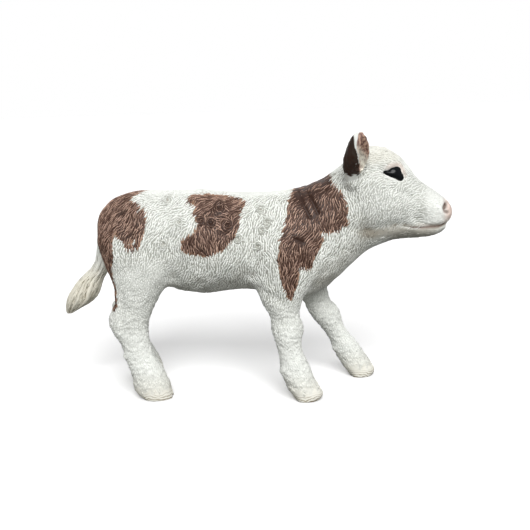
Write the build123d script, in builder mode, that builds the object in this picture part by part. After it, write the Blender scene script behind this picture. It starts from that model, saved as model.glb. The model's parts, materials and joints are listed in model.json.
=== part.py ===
"""Calf figurine cast in solid PVC as eleven mouldings that key together and are glued."""
import os

from build123d import *

# The ground is z = 0, the calf looks along +X and its left is +Y. Sides are signed shares of an outward shift.
right_share = -1
left_share = 1

# Trunk and neck, in millimetres.
rump_reach = 30.3       # rump behind the origin
trunk_length = 55.0     # rump to the end of the neck, inside the head
belly_height = 20.8     # belly above the ground
trunk_depth = 20.5      # belly to back
trunk_width = 19.8      # across the barrel
neck_seam_tilt = 18.0   # degrees, the seam between torso and head leans back at the top

# Head.
head_length = 20.8      # back of the skull to the nose
head_depth = 17.7       # jaw to poll
head_width = 12.8       # across the cheeks
nostril_length = 1.8
nostril_width = 1.1
eye_length = 4.3
eye_width = 3.1
lid_rim = 0.6           # the lids reach this much past the eye all round

# Ears.
right_ear_height = 10.6  # root to tip, pricked up
left_ear_height = 9.5   # root to tip, held lower
ear_depth = 4.8         # front to back at the widest
ear_width = 3.6         # across at the widest
ear_lean = 5.3          # the tip stands this much further out than the root
ear_wall = 0.55         # left behind the cupped opening

# Tail.
tail_height = 20.2      # root to tip
tail_depth = 5.9        # front to back at the tuft
tail_width = 4.0        # across the tuft
tail_sweep = 10.8       # the tip trails this far behind the root

# Limbs.
hind_depth = 15.0       # thigh, front to back
hind_width = 9.2        # thigh, across
hind_spread = 6.6       # hoof centre from the middle plane
hind_stride = 4.8       # left hind hoof behind the right one
fore_depth = 13.8       # shoulder, front to back
fore_width = 8.0        # shoulder, across
fore_spread = 7.2       # hoof centre from the middle plane
fore_stride = 10.8      # left fore hoof in front of the right one
hoof_height = 3.3
hoof_ledge = 0.15       # the hoof wall stands out from the skin by this
cleft_width = 0.7
cleft_depth = 2.4
dewclaw_size = 1.5

# Glued fits.
leg_peg_length = 3.6    # along the body
leg_peg_width = 2.2     # across
leg_peg_height = 4.0
neck_peg_length = 8.0   # up and down
neck_peg_width = 5.0    # across
neck_peg_height = 5.0
glue_clearance = 0.08   # all round a glued root or peg
end_clearance = 0.3     # beyond the end of a peg

# Sections across the trunk from the rump to the neck: place along it, top, bottom, width, widest line.
trunk_shares = (
    (0.00, 0.75, 0.52, 0.30, 0.50),
    (0.02, 0.84, 0.38, 0.58, 0.50),
    (0.06, 0.93, 0.25, 0.78, 0.50),
    (0.15, 1.00, 0.11, 0.92, 0.50),
    (0.28, 1.00, 0.02, 0.95, 0.48),
    (0.43, 0.98, 0.00, 1.00, 0.45),
    (0.55, 0.96, 0.02, 0.98, 0.45),
    (0.66, 0.97, -0.02, 0.92, 0.47),
    (0.75, 1.01, -0.08, 0.82, 0.50),
    (0.83, 1.10, 0.02, 0.70, 0.50),
    (0.91, 1.24, 0.22, 0.60, 0.50),
    (1.00, 1.31, 0.42, 0.50, 0.50),
)

# Sections across the head from the back of the skull to the nose, laid out like those of the trunk.
skull_shares = (
    (0.00, 0.81, 0.11, 0.62, 0.55),
    (0.11, 0.94, -0.03, 0.87, 0.55),
    (0.29, 1.00, -0.04, 1.00, 0.55),
    (0.47, 0.93, 0.02, 0.97, 0.55),
    (0.63, 0.74, 0.11, 0.76, 0.50),
    (0.78, 0.56, 0.10, 0.67, 0.45),
    (0.90, 0.46, 0.12, 0.63, 0.45),
    (0.97, 0.38, 0.17, 0.48, 0.50),
    (1.00, 0.32, 0.23, 0.24, 0.50),
)
jaw_shares = (
    (0.11, 0.34, -0.17, 0.70, 0.60),
    (0.32, 0.28, -0.08, 0.75, 0.60),
    (0.54, 0.23, -0.01, 0.67, 0.60),
    (0.75, 0.20, 0.00, 0.58, 0.60),
    (0.88, 0.18, 0.04, 0.54, 0.60),
    (0.94, 0.17, 0.09, 0.38, 0.60),
)

# Level sections of the limbs, tail and ears: height, forward shift, depth, width, outward shift.
hind_shares = (
    (1.00, -0.23, 0.60, 0.70, 0.64),
    (0.89, -0.20, 0.99, 1.00, 0.76),
    (0.76, -0.10, 0.98, 0.98, 0.82),
    (0.66, -0.13, 0.77, 0.84, 0.89),
    (0.57, -0.20, 0.59, 0.70, 0.93),
    (0.50, -0.27, 0.56, 0.61, 0.94),
    (0.43, -0.33, 0.55, 0.59, 0.95),
    (0.36, -0.29, 0.44, 0.52, 0.97),
    (0.28, -0.23, 0.39, 0.49, 0.98),
    (0.17, -0.13, 0.45, 0.55, 1.00),
    (0.09, -0.07, 0.48, 0.60, 1.00),
    (0.00, 0.00, 0.44, 0.60, 1.00),
)
fore_shares = (
    (1.00, -0.24, 0.51, 0.50, 0.44),
    (0.87, -0.21, 0.81, 1.00, 0.68),
    (0.71, -0.25, 1.00, 1.00, 0.75),
    (0.58, -0.31, 0.76, 0.87, 0.80),
    (0.47, -0.29, 0.52, 0.71, 0.84),
    (0.40, -0.25, 0.46, 0.64, 0.87),
    (0.33, -0.24, 0.41, 0.61, 0.90),
    (0.27, -0.22, 0.34, 0.54, 0.94),
    (0.20, -0.17, 0.39, 0.57, 0.97),
    (0.13, -0.12, 0.44, 0.63, 0.99),
    (0.08, -0.06, 0.44, 0.65, 1.00),
    (0.00, 0.00, 0.39, 0.66, 1.00),
)
tail_shares = (
    (1.00, 0.00, 0.41, 0.65, 0.00),
    (0.88, -0.15, 0.48, 0.75, 0.00),
    (0.70, -0.21, 0.49, 0.75, 0.00),
    (0.56, -0.27, 0.51, 0.70, 0.00),
    (0.44, -0.39, 0.73, 0.75, 0.00),
    (0.32, -0.57, 0.88, 0.90, 0.00),
    (0.18, -0.73, 1.00, 1.00, 0.00),
    (0.07, -0.90, 0.68, 0.64, 0.00),
    (0.00, -1.00, 0.24, 0.20, 0.00),
)
ear_shares = (
    (0.00, 0.00, 0.46, 0.56, 0.00),
    (0.18, -0.02, 0.46, 0.61, 0.23),
    (0.34, 0.06, 0.79, 0.83, 0.43),
    (0.55, 0.18, 0.98, 1.00, 0.64),
    (0.75, 0.26, 0.83, 0.83, 0.81),
    (0.92, 0.28, 0.54, 0.53, 0.94),
    (1.00, 0.29, 0.17, 0.17, 1.00),
)

# Runs of rows that are lofted together, where neighbouring runs share a section.
rump_run, barrel_run, neck_run = slice(0, 6), slice(5, 9), slice(8, None)
skull_run, muzzle_run = slice(0, 5), slice(4, None)
stub_run, leg_run = slice(0, 5), slice(4, None)
dock_run, tuft_run = slice(0, 5), slice(4, None)

# Places of the pieces as shares of the trunk, the head or the limb that carries them.
hip_height_share = 0.74
shoulder_height_share = 0.84
hind_line_share = 0.198
fore_line_share = 0.750
stride_height_share = 1.25
stride_bend_share = 1.9
neck_seam_shares = (0.85, 0.67)
head_start_shares = (0.895, 0.50)
eye_shares = (0.425, 0.365, 0.73)
lid_shares = (0.425, 0.315, 0.735)
eye_axis_shares = (1.00, -0.14, -0.42)
nostril_shares = (0.915, 0.21, 0.345)
nostril_axis_shares = (1.00, -0.90, 0.35)
ear_root_shares = (0.08, 0.36, 0.59)
ear_opening_shares = (0.28, 0.20)
tail_root_shares = (0.043, 0.74)
hind_claw_shares = (0.25, 0.22)
fore_claw_shares = (0.16, 0.22)
claw_inset_share = 0.35

rump_x = -rump_reach
hip_height = belly_height + trunk_depth * hip_height_share
shoulder_height = belly_height + trunk_depth * shoulder_height_share
stride_height = belly_height * stride_height_share
head_x = rump_x + trunk_length * head_start_shares[0]
head_z = belly_height + trunk_depth * head_start_shares[1]
hind_x = rump_x + trunk_length * hind_line_share
fore_x = rump_x + trunk_length * fore_line_share


def egg(plane, width, rise, drop):
    """Closed section of four quarter ellipses around the plane's origin."""
    with BuildSketch(plane) as section:
        with BuildLine():
            EllipticalCenterArc((0, 0), width / 2, rise, 0, arc_size=90)
            EllipticalCenterArc((0, 0), width / 2, rise, 90, arc_size=90)
            EllipticalCenterArc((0, 0), width / 2, drop, 180, arc_size=90)
            EllipticalCenterArc((0, 0), width / 2, drop, 270, arc_size=90)
        make_face()
    return section.sketch


def upright_sections(shares, start, length, base, depth, width):
    """Sections across the body, as the trunk table lists them."""
    sections = []
    for along_share, top_share, bottom_share, width_share, widest_share in shares:
        top = base + depth * top_share
        bottom = base + depth * bottom_share
        widest = bottom + (top - bottom) * widest_share
        plane = Plane((start + length * along_share, 0, widest), x_dir=(0, 1, 0), z_dir=(1, 0, 0))
        sections.append(egg(plane, width * width_share, top - widest, widest - bottom))
    return sections


def level_sections(shares, root, height, reach, depth, width, spread, side, stride=0, grow=0):
    """Level sections of a limb, the tail or an ear, as the limb tables list them."""
    sections = []
    for height_share, forward_share, depth_share, width_share, outward_share in shares:
        rise = root[2] + height * height_share
        step = stride * (1 - min(rise / stride_height, 1) ** stride_bend_share)
        middle = root[0] + step + reach * forward_share
        outward = side * (root[1] + spread * outward_share)
        half_depth = depth * depth_share / 2 + grow
        plane = Plane((middle, outward, rise), x_dir=(0, -1, 0), z_dir=(0, 0, 1))
        sections.append(egg(plane, width * width_share + 2 * grow, half_depth, half_depth))
    return sections


def leg_blocks(shares, foot_x, height, depth, width, spread, stride, side, claw_shares):
    """A limb parted at its level seam: the stub that stays on the torso and the leg with its peg."""
    foot = (foot_x, 0, 0)
    sections = level_sections(shares, foot, height, depth, depth, width, spread, side, stride)
    with BuildPart() as stub:
        loft(sections[stub_run])

    coronet_share = hoof_height / height
    hoof_shares = (shares[-1], (coronet_share, *shares[-2][1:]))
    claw_height, claw_share = claw_shares
    with BuildPart() as leg:
        loft(sections[leg_run])
        seam_face = leg.faces().sort_by(Axis.Z)[-1]
        peg_plane = Plane(seam_face.center(CenterOf.MASS))
        hoof = level_sections(hoof_shares, foot, height, depth, depth, width, spread, side, stride, hoof_ledge)
        loft(hoof, ruled=True)
        sole = leg.faces().sort_by(Axis.Z)[0]
        toe = Plane((sole.bounding_box().max.X, sole.center().Y, 0))
        with BuildSketch(toe):
            with BuildLine():
                Polyline((-cleft_depth, 0), (0, cleft_width / 2), (0, -cleft_width / 2), close=True)
            make_face()
        extrude(amount=hoof_height, mode=Mode.SUBTRACT)
        shank = leg.part.intersect(Plane((0, 0, height * claw_height)))[0].bounding_box()
        shank_y = (shank.min.Y + shank.max.Y) / 2
        for hand in (right_share, left_share):
            claw_y = shank_y + hand * shank.size.Y * claw_share
            with Locations((shank.min.X + dewclaw_size * claw_inset_share, claw_y, height * claw_height)):
                Sphere(dewclaw_size / 2)
        with BuildSketch(peg_plane):
            SlotOverall(leg_peg_length, leg_peg_width)
        extrude(amount=leg_peg_height)
    return stub, leg, peg_plane


def ear_block(side, height, grow=0):
    """Cupped leaf of an ear with its root."""
    root_x, root_y, root_z = ear_root_shares
    root = (head_x + head_length * root_x, head_width * root_y, head_z + head_depth * root_z)
    size = (height, ear_depth, ear_depth, ear_width, ear_lean, side)
    ahead, outside = ear_opening_shares
    mouth = (root[0] + ear_depth * ahead, root[1] + ear_width * outside, root[2])
    with BuildPart() as ear:
        loft(level_sections(ear_shares, root, *size, grow=grow))
        loft(level_sections(ear_shares[2:-1], mouth, *size, grow=-ear_wall), mode=Mode.SUBTRACT)
    return ear


def bead_block(side, place_shares, axis_shares, length, width, grow=0):
    """Bead turned about its long axis at a place on the side of the head."""
    along, outward, upward = place_shares
    place = (head_x + head_length * along, side * head_width * outward, head_z + head_depth * upward)
    axis = (axis_shares[0], side * axis_shares[1], axis_shares[2])
    plane = Plane(place, x_dir=axis, z_dir=(0, side, 0))
    half_length = length / 2 + grow
    half_width = width / 2 + grow
    with BuildPart() as bead:
        with BuildSketch(plane):
            with BuildLine():
                EllipticalCenterArc((0, 0), half_length, half_width, 0, arc_size=90)
                EllipticalCenterArc((0, 0), half_length, half_width, 90, arc_size=90)
                Line((-half_length, 0), (half_length, 0))
            make_face()
        revolve(axis=Axis(plane.origin, plane.x_dir))
    return bead


def tail_block(grow=0):
    """Tail with its tuft, the root laid into the rump."""
    along, upward = tail_root_shares
    root_z = belly_height + trunk_depth * upward
    tip = (rump_x + trunk_length * along, 0, root_z - tail_height)
    size = (tail_height, tail_sweep, tail_depth, tail_width, 0, left_share)
    sections = level_sections(tail_shares, tip, *size, grow=grow)
    with BuildPart() as block:
        loft(sections[dock_run])
        loft(sections[tuft_run])
    return block


# Legs, with the stubs that stay on the torso.
hind_size = (hind_x, hip_height, hind_depth, hind_width, hind_spread)
fore_size = (fore_x, shoulder_height, fore_depth, fore_width, fore_spread)
right_haunch, right_hind_leg, right_hind_peg = leg_blocks(
    hind_shares, *hind_size, 0, right_share, hind_claw_shares
)
left_haunch, left_hind_leg, left_hind_peg = leg_blocks(
    hind_shares, *hind_size, -hind_stride, left_share, hind_claw_shares
)
right_shoulder, right_foreleg, right_fore_peg = leg_blocks(
    fore_shares, *fore_size, 0, right_share, fore_claw_shares
)
left_shoulder, left_foreleg, left_fore_peg = leg_blocks(
    fore_shares, *fore_size, fore_stride, left_share, fore_claw_shares
)

# Ears, eyes and tail.
right_ear = ear_block(right_share, right_ear_height)
left_ear = ear_block(left_share, left_ear_height)
right_eye = bead_block(right_share, eye_shares, eye_axis_shares, eye_length, eye_width)
left_eye = bead_block(left_share, eye_shares, eye_axis_shares, eye_length, eye_width)
tail = tail_block()

# The neck seam parts the trunk, and an oval peg across it keys the head.
neck_along, neck_upward = neck_seam_shares
neck_place = (rump_x + trunk_length * neck_along, 0, belly_height + trunk_depth * neck_upward)
neck_seam = Plane(neck_place, x_dir=(0, 1, 0), z_dir=(1, 0, 0)).rotated((0, -neck_seam_tilt, 0))
trunk_sections = upright_sections(trunk_shares, rump_x, trunk_length, belly_height, trunk_depth, trunk_width)

with BuildPart() as torso:
    loft(trunk_sections[rump_run])
    loft(trunk_sections[barrel_run])
    loft(trunk_sections[neck_run])
    split(bisect_by=neck_seam, keep=Keep.BOTTOM)
    add(right_haunch.part)
    add(left_haunch.part)
    add(right_shoulder.part)
    add(left_shoulder.part)
    for peg_plane in (right_hind_peg, left_hind_peg, right_fore_peg, left_fore_peg):
        with BuildSketch(peg_plane):
            SlotOverall(leg_peg_length + 2 * glue_clearance, leg_peg_width + 2 * glue_clearance)
        extrude(amount=leg_peg_height + end_clearance, mode=Mode.SUBTRACT)
    with BuildSketch(neck_seam):
        SlotOverall(neck_peg_length + 2 * glue_clearance, neck_peg_width + 2 * glue_clearance, rotation=90)
    extrude(amount=-(neck_peg_height + end_clearance), mode=Mode.SUBTRACT)
    add(tail_block(glue_clearance).part, mode=Mode.SUBTRACT)

head_size = (head_x, head_length, head_z, head_depth, head_width)
skull_sections = upright_sections(skull_shares, *head_size)
jaw_sections = upright_sections(jaw_shares, *head_size)
with BuildPart() as head:
    loft(trunk_sections[neck_run])
    split(bisect_by=neck_seam, keep=Keep.TOP)
    loft(skull_sections[skull_run])
    loft(skull_sections[muzzle_run])
    loft(jaw_sections)
    split(bisect_by=neck_seam, keep=Keep.TOP)
    for side in (right_share, left_share):
        add(bead_block(side, lid_shares, eye_axis_shares, eye_length, eye_width, lid_rim).part)
    with BuildSketch(neck_seam):
        SlotOverall(neck_peg_length, neck_peg_width, rotation=90)
    extrude(amount=-neck_peg_height)
    for side, ear_height in ((right_share, right_ear_height), (left_share, left_ear_height)):
        add(ear_block(side, ear_height, glue_clearance).part, mode=Mode.SUBTRACT)
        add(bead_block(side, eye_shares, eye_axis_shares, eye_length, eye_width, glue_clearance).part,
            mode=Mode.SUBTRACT)
        add(bead_block(side, nostril_shares, nostril_axis_shares, nostril_length, nostril_width).part,
            mode=Mode.SUBTRACT)

blocks = {
    "torso": torso,
    "head": head,
    "right_ear": right_ear,
    "left_ear": left_ear,
    "right_eye": right_eye,
    "left_eye": left_eye,
    "tail": tail,
    "right_foreleg": right_foreleg,
    "left_foreleg": left_foreleg,
    "right_hind_leg": right_hind_leg,
    "left_hind_leg": left_hind_leg,
}
os.makedirs("parts", exist_ok=True)
for name, block in blocks.items():
    block.part.label = name
    export_step(block.part, f"parts/{name}.step")
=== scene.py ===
"""Looks of a moulded and hand-painted calf figurine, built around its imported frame."""
import json
import math

import bmesh
import bpy
import numpy as np
from mathutils import Matrix, Vector
from mathutils.bvhtree import BVHTree

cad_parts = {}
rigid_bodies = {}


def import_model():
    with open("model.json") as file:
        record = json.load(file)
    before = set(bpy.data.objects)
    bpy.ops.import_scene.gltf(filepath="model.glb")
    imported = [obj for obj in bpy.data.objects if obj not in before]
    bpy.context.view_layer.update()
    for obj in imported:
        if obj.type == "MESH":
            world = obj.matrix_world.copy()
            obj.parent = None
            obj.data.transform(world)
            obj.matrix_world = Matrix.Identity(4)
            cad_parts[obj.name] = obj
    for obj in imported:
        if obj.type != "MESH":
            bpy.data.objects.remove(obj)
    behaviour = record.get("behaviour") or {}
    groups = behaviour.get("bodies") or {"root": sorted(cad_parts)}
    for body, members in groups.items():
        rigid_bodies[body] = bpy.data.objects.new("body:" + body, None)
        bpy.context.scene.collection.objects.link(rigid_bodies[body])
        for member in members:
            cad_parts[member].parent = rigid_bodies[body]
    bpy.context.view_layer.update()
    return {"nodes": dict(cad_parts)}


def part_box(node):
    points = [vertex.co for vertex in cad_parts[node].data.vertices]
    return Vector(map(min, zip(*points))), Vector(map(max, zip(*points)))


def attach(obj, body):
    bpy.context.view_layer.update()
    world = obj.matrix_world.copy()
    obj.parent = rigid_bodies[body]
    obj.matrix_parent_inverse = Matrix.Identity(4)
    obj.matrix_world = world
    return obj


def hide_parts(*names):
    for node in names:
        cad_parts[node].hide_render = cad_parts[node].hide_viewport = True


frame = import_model()

bl_info = {
    "name": "Calf figurine",
    "version": (1, 0, 0),
    "blender": (4, 5, 0),
    "location": "View3D > Sidebar > Calf",
    "description": "Dresses a calf figurine in a sculpted skin, hair locks and paint",
    "category": "Object",
}

# The sculpting is done in millimetres, with the calf looking along +X and its left at +Y.
MM = 0.001
SIDES = {"right": -1, "left": 1}
LEGS = ("right_foreleg", "left_foreleg", "right_hind_leg", "left_hind_leg")
PIECES = ("torso", "head", *LEGS)
LEG_PEG = 4.0                   # part of a leg node that is hidden in the torso
NECK_SEAM = (16.45, 34.54)      # X and Z
NECK_TILT = math.radians(18)
BELLY_MIDDLE = -5.0             # X that parts the fore limbs from the hind ones

# Soft folds and swellings of both flanks: height, half width and a path of X and Z.
FOLDS = (
    (-0.45, 1.20, ((1.4, 35.0), (1.7, 29.4), (2.0, 27.3), (1.3, 25.3))),     # behind the shoulder
    (-0.40, 0.90, ((2.7, 22.5), (6.2, 20.5))),                       # elbow
    (0.35, 2.20, ((6.6, 30.0), (7.2, 25.0))),                        # upper arm
    (-0.50, 1.80, ((-14.8, 25.0), (-13.2, 29.0), (-14.3, 33.0))),    # flank
    (0.40, 2.20, ((-20.3, 39.0),)),                                  # hip
    (0.35, 2.60, ((-17.0, 26.5),)),                                  # stifle
    (-0.35, 0.70, ((-24.6, 22.0), (-25.2, 16.5))),                   # tendon above the hock
    (0.25, 1.20, ((-26.0, 13.6),)),                                  # hock
    (0.25, 1.80, ((7.7, 12.6),)),                                    # knee
    (-0.14, 0.28, ((8.3, 12.9), (9.8, 12.5))),                       # creases of the knee
    (-0.14, 0.28, ((6.8, 11.0), (8.6, 11.3), (10.1, 11.9))),
    (-0.18, 0.30, ((7.1, 3.6), (8.6, 2.9), (10.8, 3.1), (12.6, 2.9))),        # above the hoof
    (0.35, 2.60, ((27.0, 37.0),)),                                   # cheek
    (-0.30, 1.10, ((20.6, 33.6), (24.5, 33.0), (28.6, 34.0))),       # under the cheek
    (0.40, 0.70, ((24.4, 45.6), (27.2, 46.5), (29.6, 46.2))),        # brow
    (-0.25, 0.60, ((28.0, 41.2), (30.4, 40.3), (31.9, 39.4))),       # below the eye
    (0.25, 0.40, ((37.7, 38.2), (37.2, 37.2), (37.5, 36.0))),        # nostril wing
    (0.22, 0.40, ((38.7, 38.3), (39.2, 37.4))),                      # nose tip
    (0.45, 0.85, ((31.8, 34.5), (33.6, 34.2), (35.2, 34.2), (37.2, 34.5))),   # upper lip
    (0.25, 0.80, ((33.4, 32.2), (36.4, 32.4))),                      # chin
)
MOUTH = ((30.6, 33.8), (31.8, 33.5), (33.6, 33.3), (35.1, 33.4), (36.9, 33.5), (38.2, 33.9))
CHEEK_EDGE = ((21.0, 33.6), (24.5, 33.5), (28.6, 34.3), (31.5, 33.9))
NOSTRIL = ((38.4, 37.7), (37.9, 37.1), (38.1, 36.5), (38.7, 36.2))

# Narrow creases without hair, filled with a dark wash that paints their shade: depth, half width and a path
# of X and Z.
CREASES = (
    (0.40, 0.25, ((10.3, 40.7), (11.4, 38.3), (12.6, 36.1))),        # neck
    (0.40, 0.25, ((12.1, 40.7), (13.2, 38.7), (14.1, 36.8))),
    (0.30, 0.24, ((9.7, 32.5), (11.2, 31.7))),                       # shoulder
)
# Hair painted dark in the brown patches, the painted shade between the curls, as paths of X and Z.
DARK_HAIR = (
    ((-7.1, 36.1), (-5.8, 35.5)), ((-5.3, 34.2), (-3.6, 33.8)), ((-1.5, 35.7), (-0.8, 34.8)),
    ((-8.4, 31.2), (-7.2, 29.9)), ((-24.4, 37.5), (-23.6, 38.1)), ((-20.8, 35.7), (-19.9, 36.5)),
    ((-22.4, 33.4), (-21.4, 34.2)), ((-10.8, 31.6), (-9.8, 32.2)),
)

# Lie of the hair: a place in X and Z, and the way that the hair points there in X and Z.
HAIR_LIES = (
    ((37.0, 36.0), (-0.80, 0.20)),
    ((33.0, 40.0), (-0.80, -0.30)),
    ((28.0, 37.0), (-0.30, -0.95)),
    ((28.0, 46.5), (-0.85, 0.30)),
    ((24.0, 48.0), (-1.00, -0.10)),
    ((23.0, 40.0), (-0.10, -1.00)),
    ((17.0, 37.0), (-0.05, -1.00)),
    ((14.0, 42.0), (-0.45, -0.90)),
    ((20.0, 27.0), (-0.50, -0.85)),
    ((9.0, 34.0), (-0.55, -0.85)),
    ((9.0, 27.0), (-0.20, -1.00)),
    ((12.0, 21.0), (-0.10, -1.00)),
    ((3.0, 37.0), (-0.35, -0.95)),
    ((-5.0, 39.0), (-0.75, -0.65)),
    ((-5.0, 31.0), (0.05, -1.00)),
    ((2.0, 28.0), (0.10, -1.00)),
    ((-6.0, 24.0), (-0.50, -0.85)),
    ((-14.0, 38.0), (-0.70, -0.70)),
    ((-16.0, 33.0), (-0.20, -1.00)),
    ((-23.0, 36.0), (-0.55, -0.85)),
    ((-29.0, 38.0), (-0.40, -0.90)),
    ((-22.0, 25.0), (-0.10, -1.00)),
    ((-23.0, 12.0), (0.05, -1.00)),
    ((8.0, 10.0), (0.05, -1.00)),
    ((18.0, 10.0), (0.05, -1.00)),
)

# Curls moulded into the coat of the barrel: X, Z, radius and turning sense.
CURLS = (
    (-5.0, 38.4, 1.1, 1), (-3.2, 35.2, 1.0, -1), (-6.3, 35.9, 0.8, 1), (-8.3, 36.2, 0.7, -1),
    (-1.1, 32.9, 0.7, 1), (3.1, 37.9, 0.7, 1), (4.4, 35.6, 0.7, -1), (3.5, 34.2, 0.6, 1),
    (2.6, 31.3, 0.7, -1), (-15.3, 40.0, 0.8, -1), (-12.5, 36.0, 0.7, 1), (-15.6, 32.0, 0.7, -1),
)

# Outlines of the brown patches in X and Z, one set for each side.
PATCHES = {
    "right": (
        ((-19.4, 43.0), (-20.8, 41.3), (-22.2, 40.6), (-23.0, 39.9), (-21.5, 39.8), (-20.5, 39.1),
         (-19.2, 38.0), (-19.0, 36.4), (-19.2, 34.8), (-19.8, 32.8), (-20.6, 31.0), (-22.6, 30.8),
         (-23.7, 32.4), (-25.3, 33.8), (-25.9, 30.9), (-25.6, 29.9), (-26.3, 27.2), (-26.4, 24.6),
         (-25.9, 22.9), (-25.8, 20.0), (-26.3, 18.3), (-36.0, 18.3), (-36.0, 43.0)),
        ((-11.7, 40.1), (-10.5, 40.7), (-8.5, 40.8), (-5.1, 40.4), (-1.6, 39.9), (0.3, 39.0),
         (-0.4, 38.2), (-0.8, 36.5), (-0.9, 35.0), (-1.7, 32.9), (-4.4, 30.5), (-7.0, 29.4),
         (-11.2, 30.2), (-12.3, 31.4), (-12.1, 32.6), (-9.4, 34.2), (-8.9, 35.6), (-9.8, 37.1),
         (-9.6, 38.3), (-10.0, 39.3), (-11.3, 39.6)),
        ((9.4, 43.0), (15.5, 47.0), (16.5, 43.8), (17.0, 42.1), (18.6, 40.7), (20.0, 37.4),
         (19.6, 35.6), (19.9, 34.6), (18.8, 34.1), (18.0, 33.1), (14.3, 33.2), (15.1, 31.9),
         (13.6, 28.9), (12.4, 26.1), (10.4, 26.9), (10.1, 23.9), (8.6, 20.0), (6.9, 23.9),
         (6.3, 28.0), (6.9, 32.6), (8.1, 36.3), (8.1, 38.0), (8.9, 40.9)),
    ),
    "left": (
        ((-19.4, 43.0), (-20.6, 41.2), (-18.9, 39.2), (-18.9, 36.3), (-21.0, 33.6), (-23.5, 32.6),
         (-25.2, 34.2), (-26.3, 29.4), (-26.5, 25.0), (-27.0, 20.0), (-36.0, 20.0), (-36.0, 43.0)),
        ((-12.5, 38.4), (-9.5, 39.8), (-4.5, 39.9), (-1.2, 38.9), (-2.1, 36.2), (-0.6, 33.4),
         (-3.4, 30.6), (-7.2, 31.4), (-9.8, 29.6), (-12.6, 31.8), (-11.1, 35.1)),
        ((9.4, 43.0), (15.5, 47.0), (16.5, 43.8), (17.6, 41.2), (19.2, 38.4), (18.4, 35.3),
         (15.6, 32.2), (13.2, 30.8), (12.2, 27.2), (10.3, 24.4), (8.2, 27.5), (7.4, 31.6),
         (8.6, 35.4), (8.0, 38.6), (8.9, 40.9)),
    ),
}
# White flecks that the brush left in the right rump patch, as paths of X and Z.
FLECKS = (((-22.2, 32.1), (-21.2, 32.8)), ((-20.6, 38.1), (-20.0, 38.6)))

# Almond of an eye in X and Z, from its back corner over the top to the front.
EYE_OUTLINE = (
    (26.4, 44.4), (27.2, 44.8), (28.0, 45.3), (29.0, 45.4), (29.7, 44.9), (30.0, 44.1), (30.3, 43.1),
    (29.8, 42.5), (28.7, 42.9), (27.5, 43.4),
)
# White rim down the outer edge of an ear: Z, X and half width.
EAR_RIM = ((46.6, 21.95, 0.10), (49.2, 21.45, 0.17), (50.6, 21.32, 0.24), (52.1, 21.40, 0.50))
EAR_ROOT = (20.7, 5.0, 42.6)
EAR_ROOT_RADIUS = 1.7
EAR_FOOT = 44.1                 # Z where the brown of an ear begins
TAIL_LEAVES = 31.0              # Z above which the tail lies in the rump
HOOF_TOP = 2.5

# Soft areas of the body: an axis, where the area is 0 and where it is full, for each of its edges.
AREAS = {
    "trunk": (("z", 14.0, 19.5), ("x", 21.0, 15.0)),
    "shank": (("z", 3.4, 5.0), ("z", 20.0, 14.0)),
    "limb": (("z", 19.0, 13.0),),
    "thigh": (("x", -11.0, -15.0), ("z", 31.0, 26.0)),
    "far": (("y", 1.0, 2.5),),
    "sole": (("z", 2.6, 0.0),),
    "pastern": (("z", 7.0, HOOF_TOP),),
    "haired": (("z", HOOF_TOP, 9.0),),
    "rough": (("z", 26.0, 17.0), ("z", HOOF_TOP - 0.5, HOOF_TOP + 0.5)),
    "barrel": (("x", -17.0, -11.0), ("x", 7.0, 3.0), ("z", 22.0, 26.0)),
    "belly": (("z", 17.0, 20.0), ("x", 22.0, 14.0)),
    "rump": (("x", -20.0, -24.0),),
    "nape": (("z", 37.5, 41.0), ("x", 7.0, 9.0), ("x", 19.0, 16.5)),
    "neck": (("x", 8.0, 10.0), ("x", 18.0, 15.5)),
    "throat": (("x", 11.0, 14.0), ("x", 27.0, 22.0), ("z", 20.0, 23.0)),
    "head": (("x", 20.0, 25.0), ("z", 26.0, 30.0)),
    "poll": (("x", 20.0, 22.5), ("x", 29.0, 26.0), ("z", 46.0, 48.0)),
    "forehead": (("x", 20.0, 22.5), ("x", 32.0, 29.0), ("z", 45.0, 47.0)),
    "jaw": (("x", 20.5, 24.5), ("x", 31.0, 29.5)),
    "jaw_back": (("x", 29.0, 25.0),),
    "muzzle": (("x", 32.0, 36.0), ("z", 26.0, 30.0)),
    "chin": (("x", 29.5, 31.0), ("z", 26.0, 30.0)),
    "chin_tip": (("x", 35.5, 38.0),),
    "lips": (("x", 30.2, 32.5),),
    "lower_lip": (("x", 32.5, 34.0),),
    "nose": (("x", 37.2, 39.2), ("z", 33.8, 35.4), ("z", 39.4, 38.0)),
}

# Random unevenness: wavelength in millimetres and seed.
DRIFTS = {
    "swells": (8.0, 3), "lumps": (3.4, 4), "poll": (1.6, 5), "limb": (0.8, 6),
    "sway": (6.0, 11), "stray": (2.4, 12), "patch_x": (1.3, 21), "patch_z": (1.3, 22),
    "hoof_edge": (1.6, 31), "hoof_rings": (3.0, 32), "barrel": (5.0, 33), "forehead": (1.8, 34),
    "strands": (9.0, 41), "fine_strands": (7.0, 42), "tail_patch": (2.0, 43),
    "ruffle": (0.7, 51), "ear_rim": (0.9, 52), "ear_foot": (1.0, 53),
}

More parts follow.
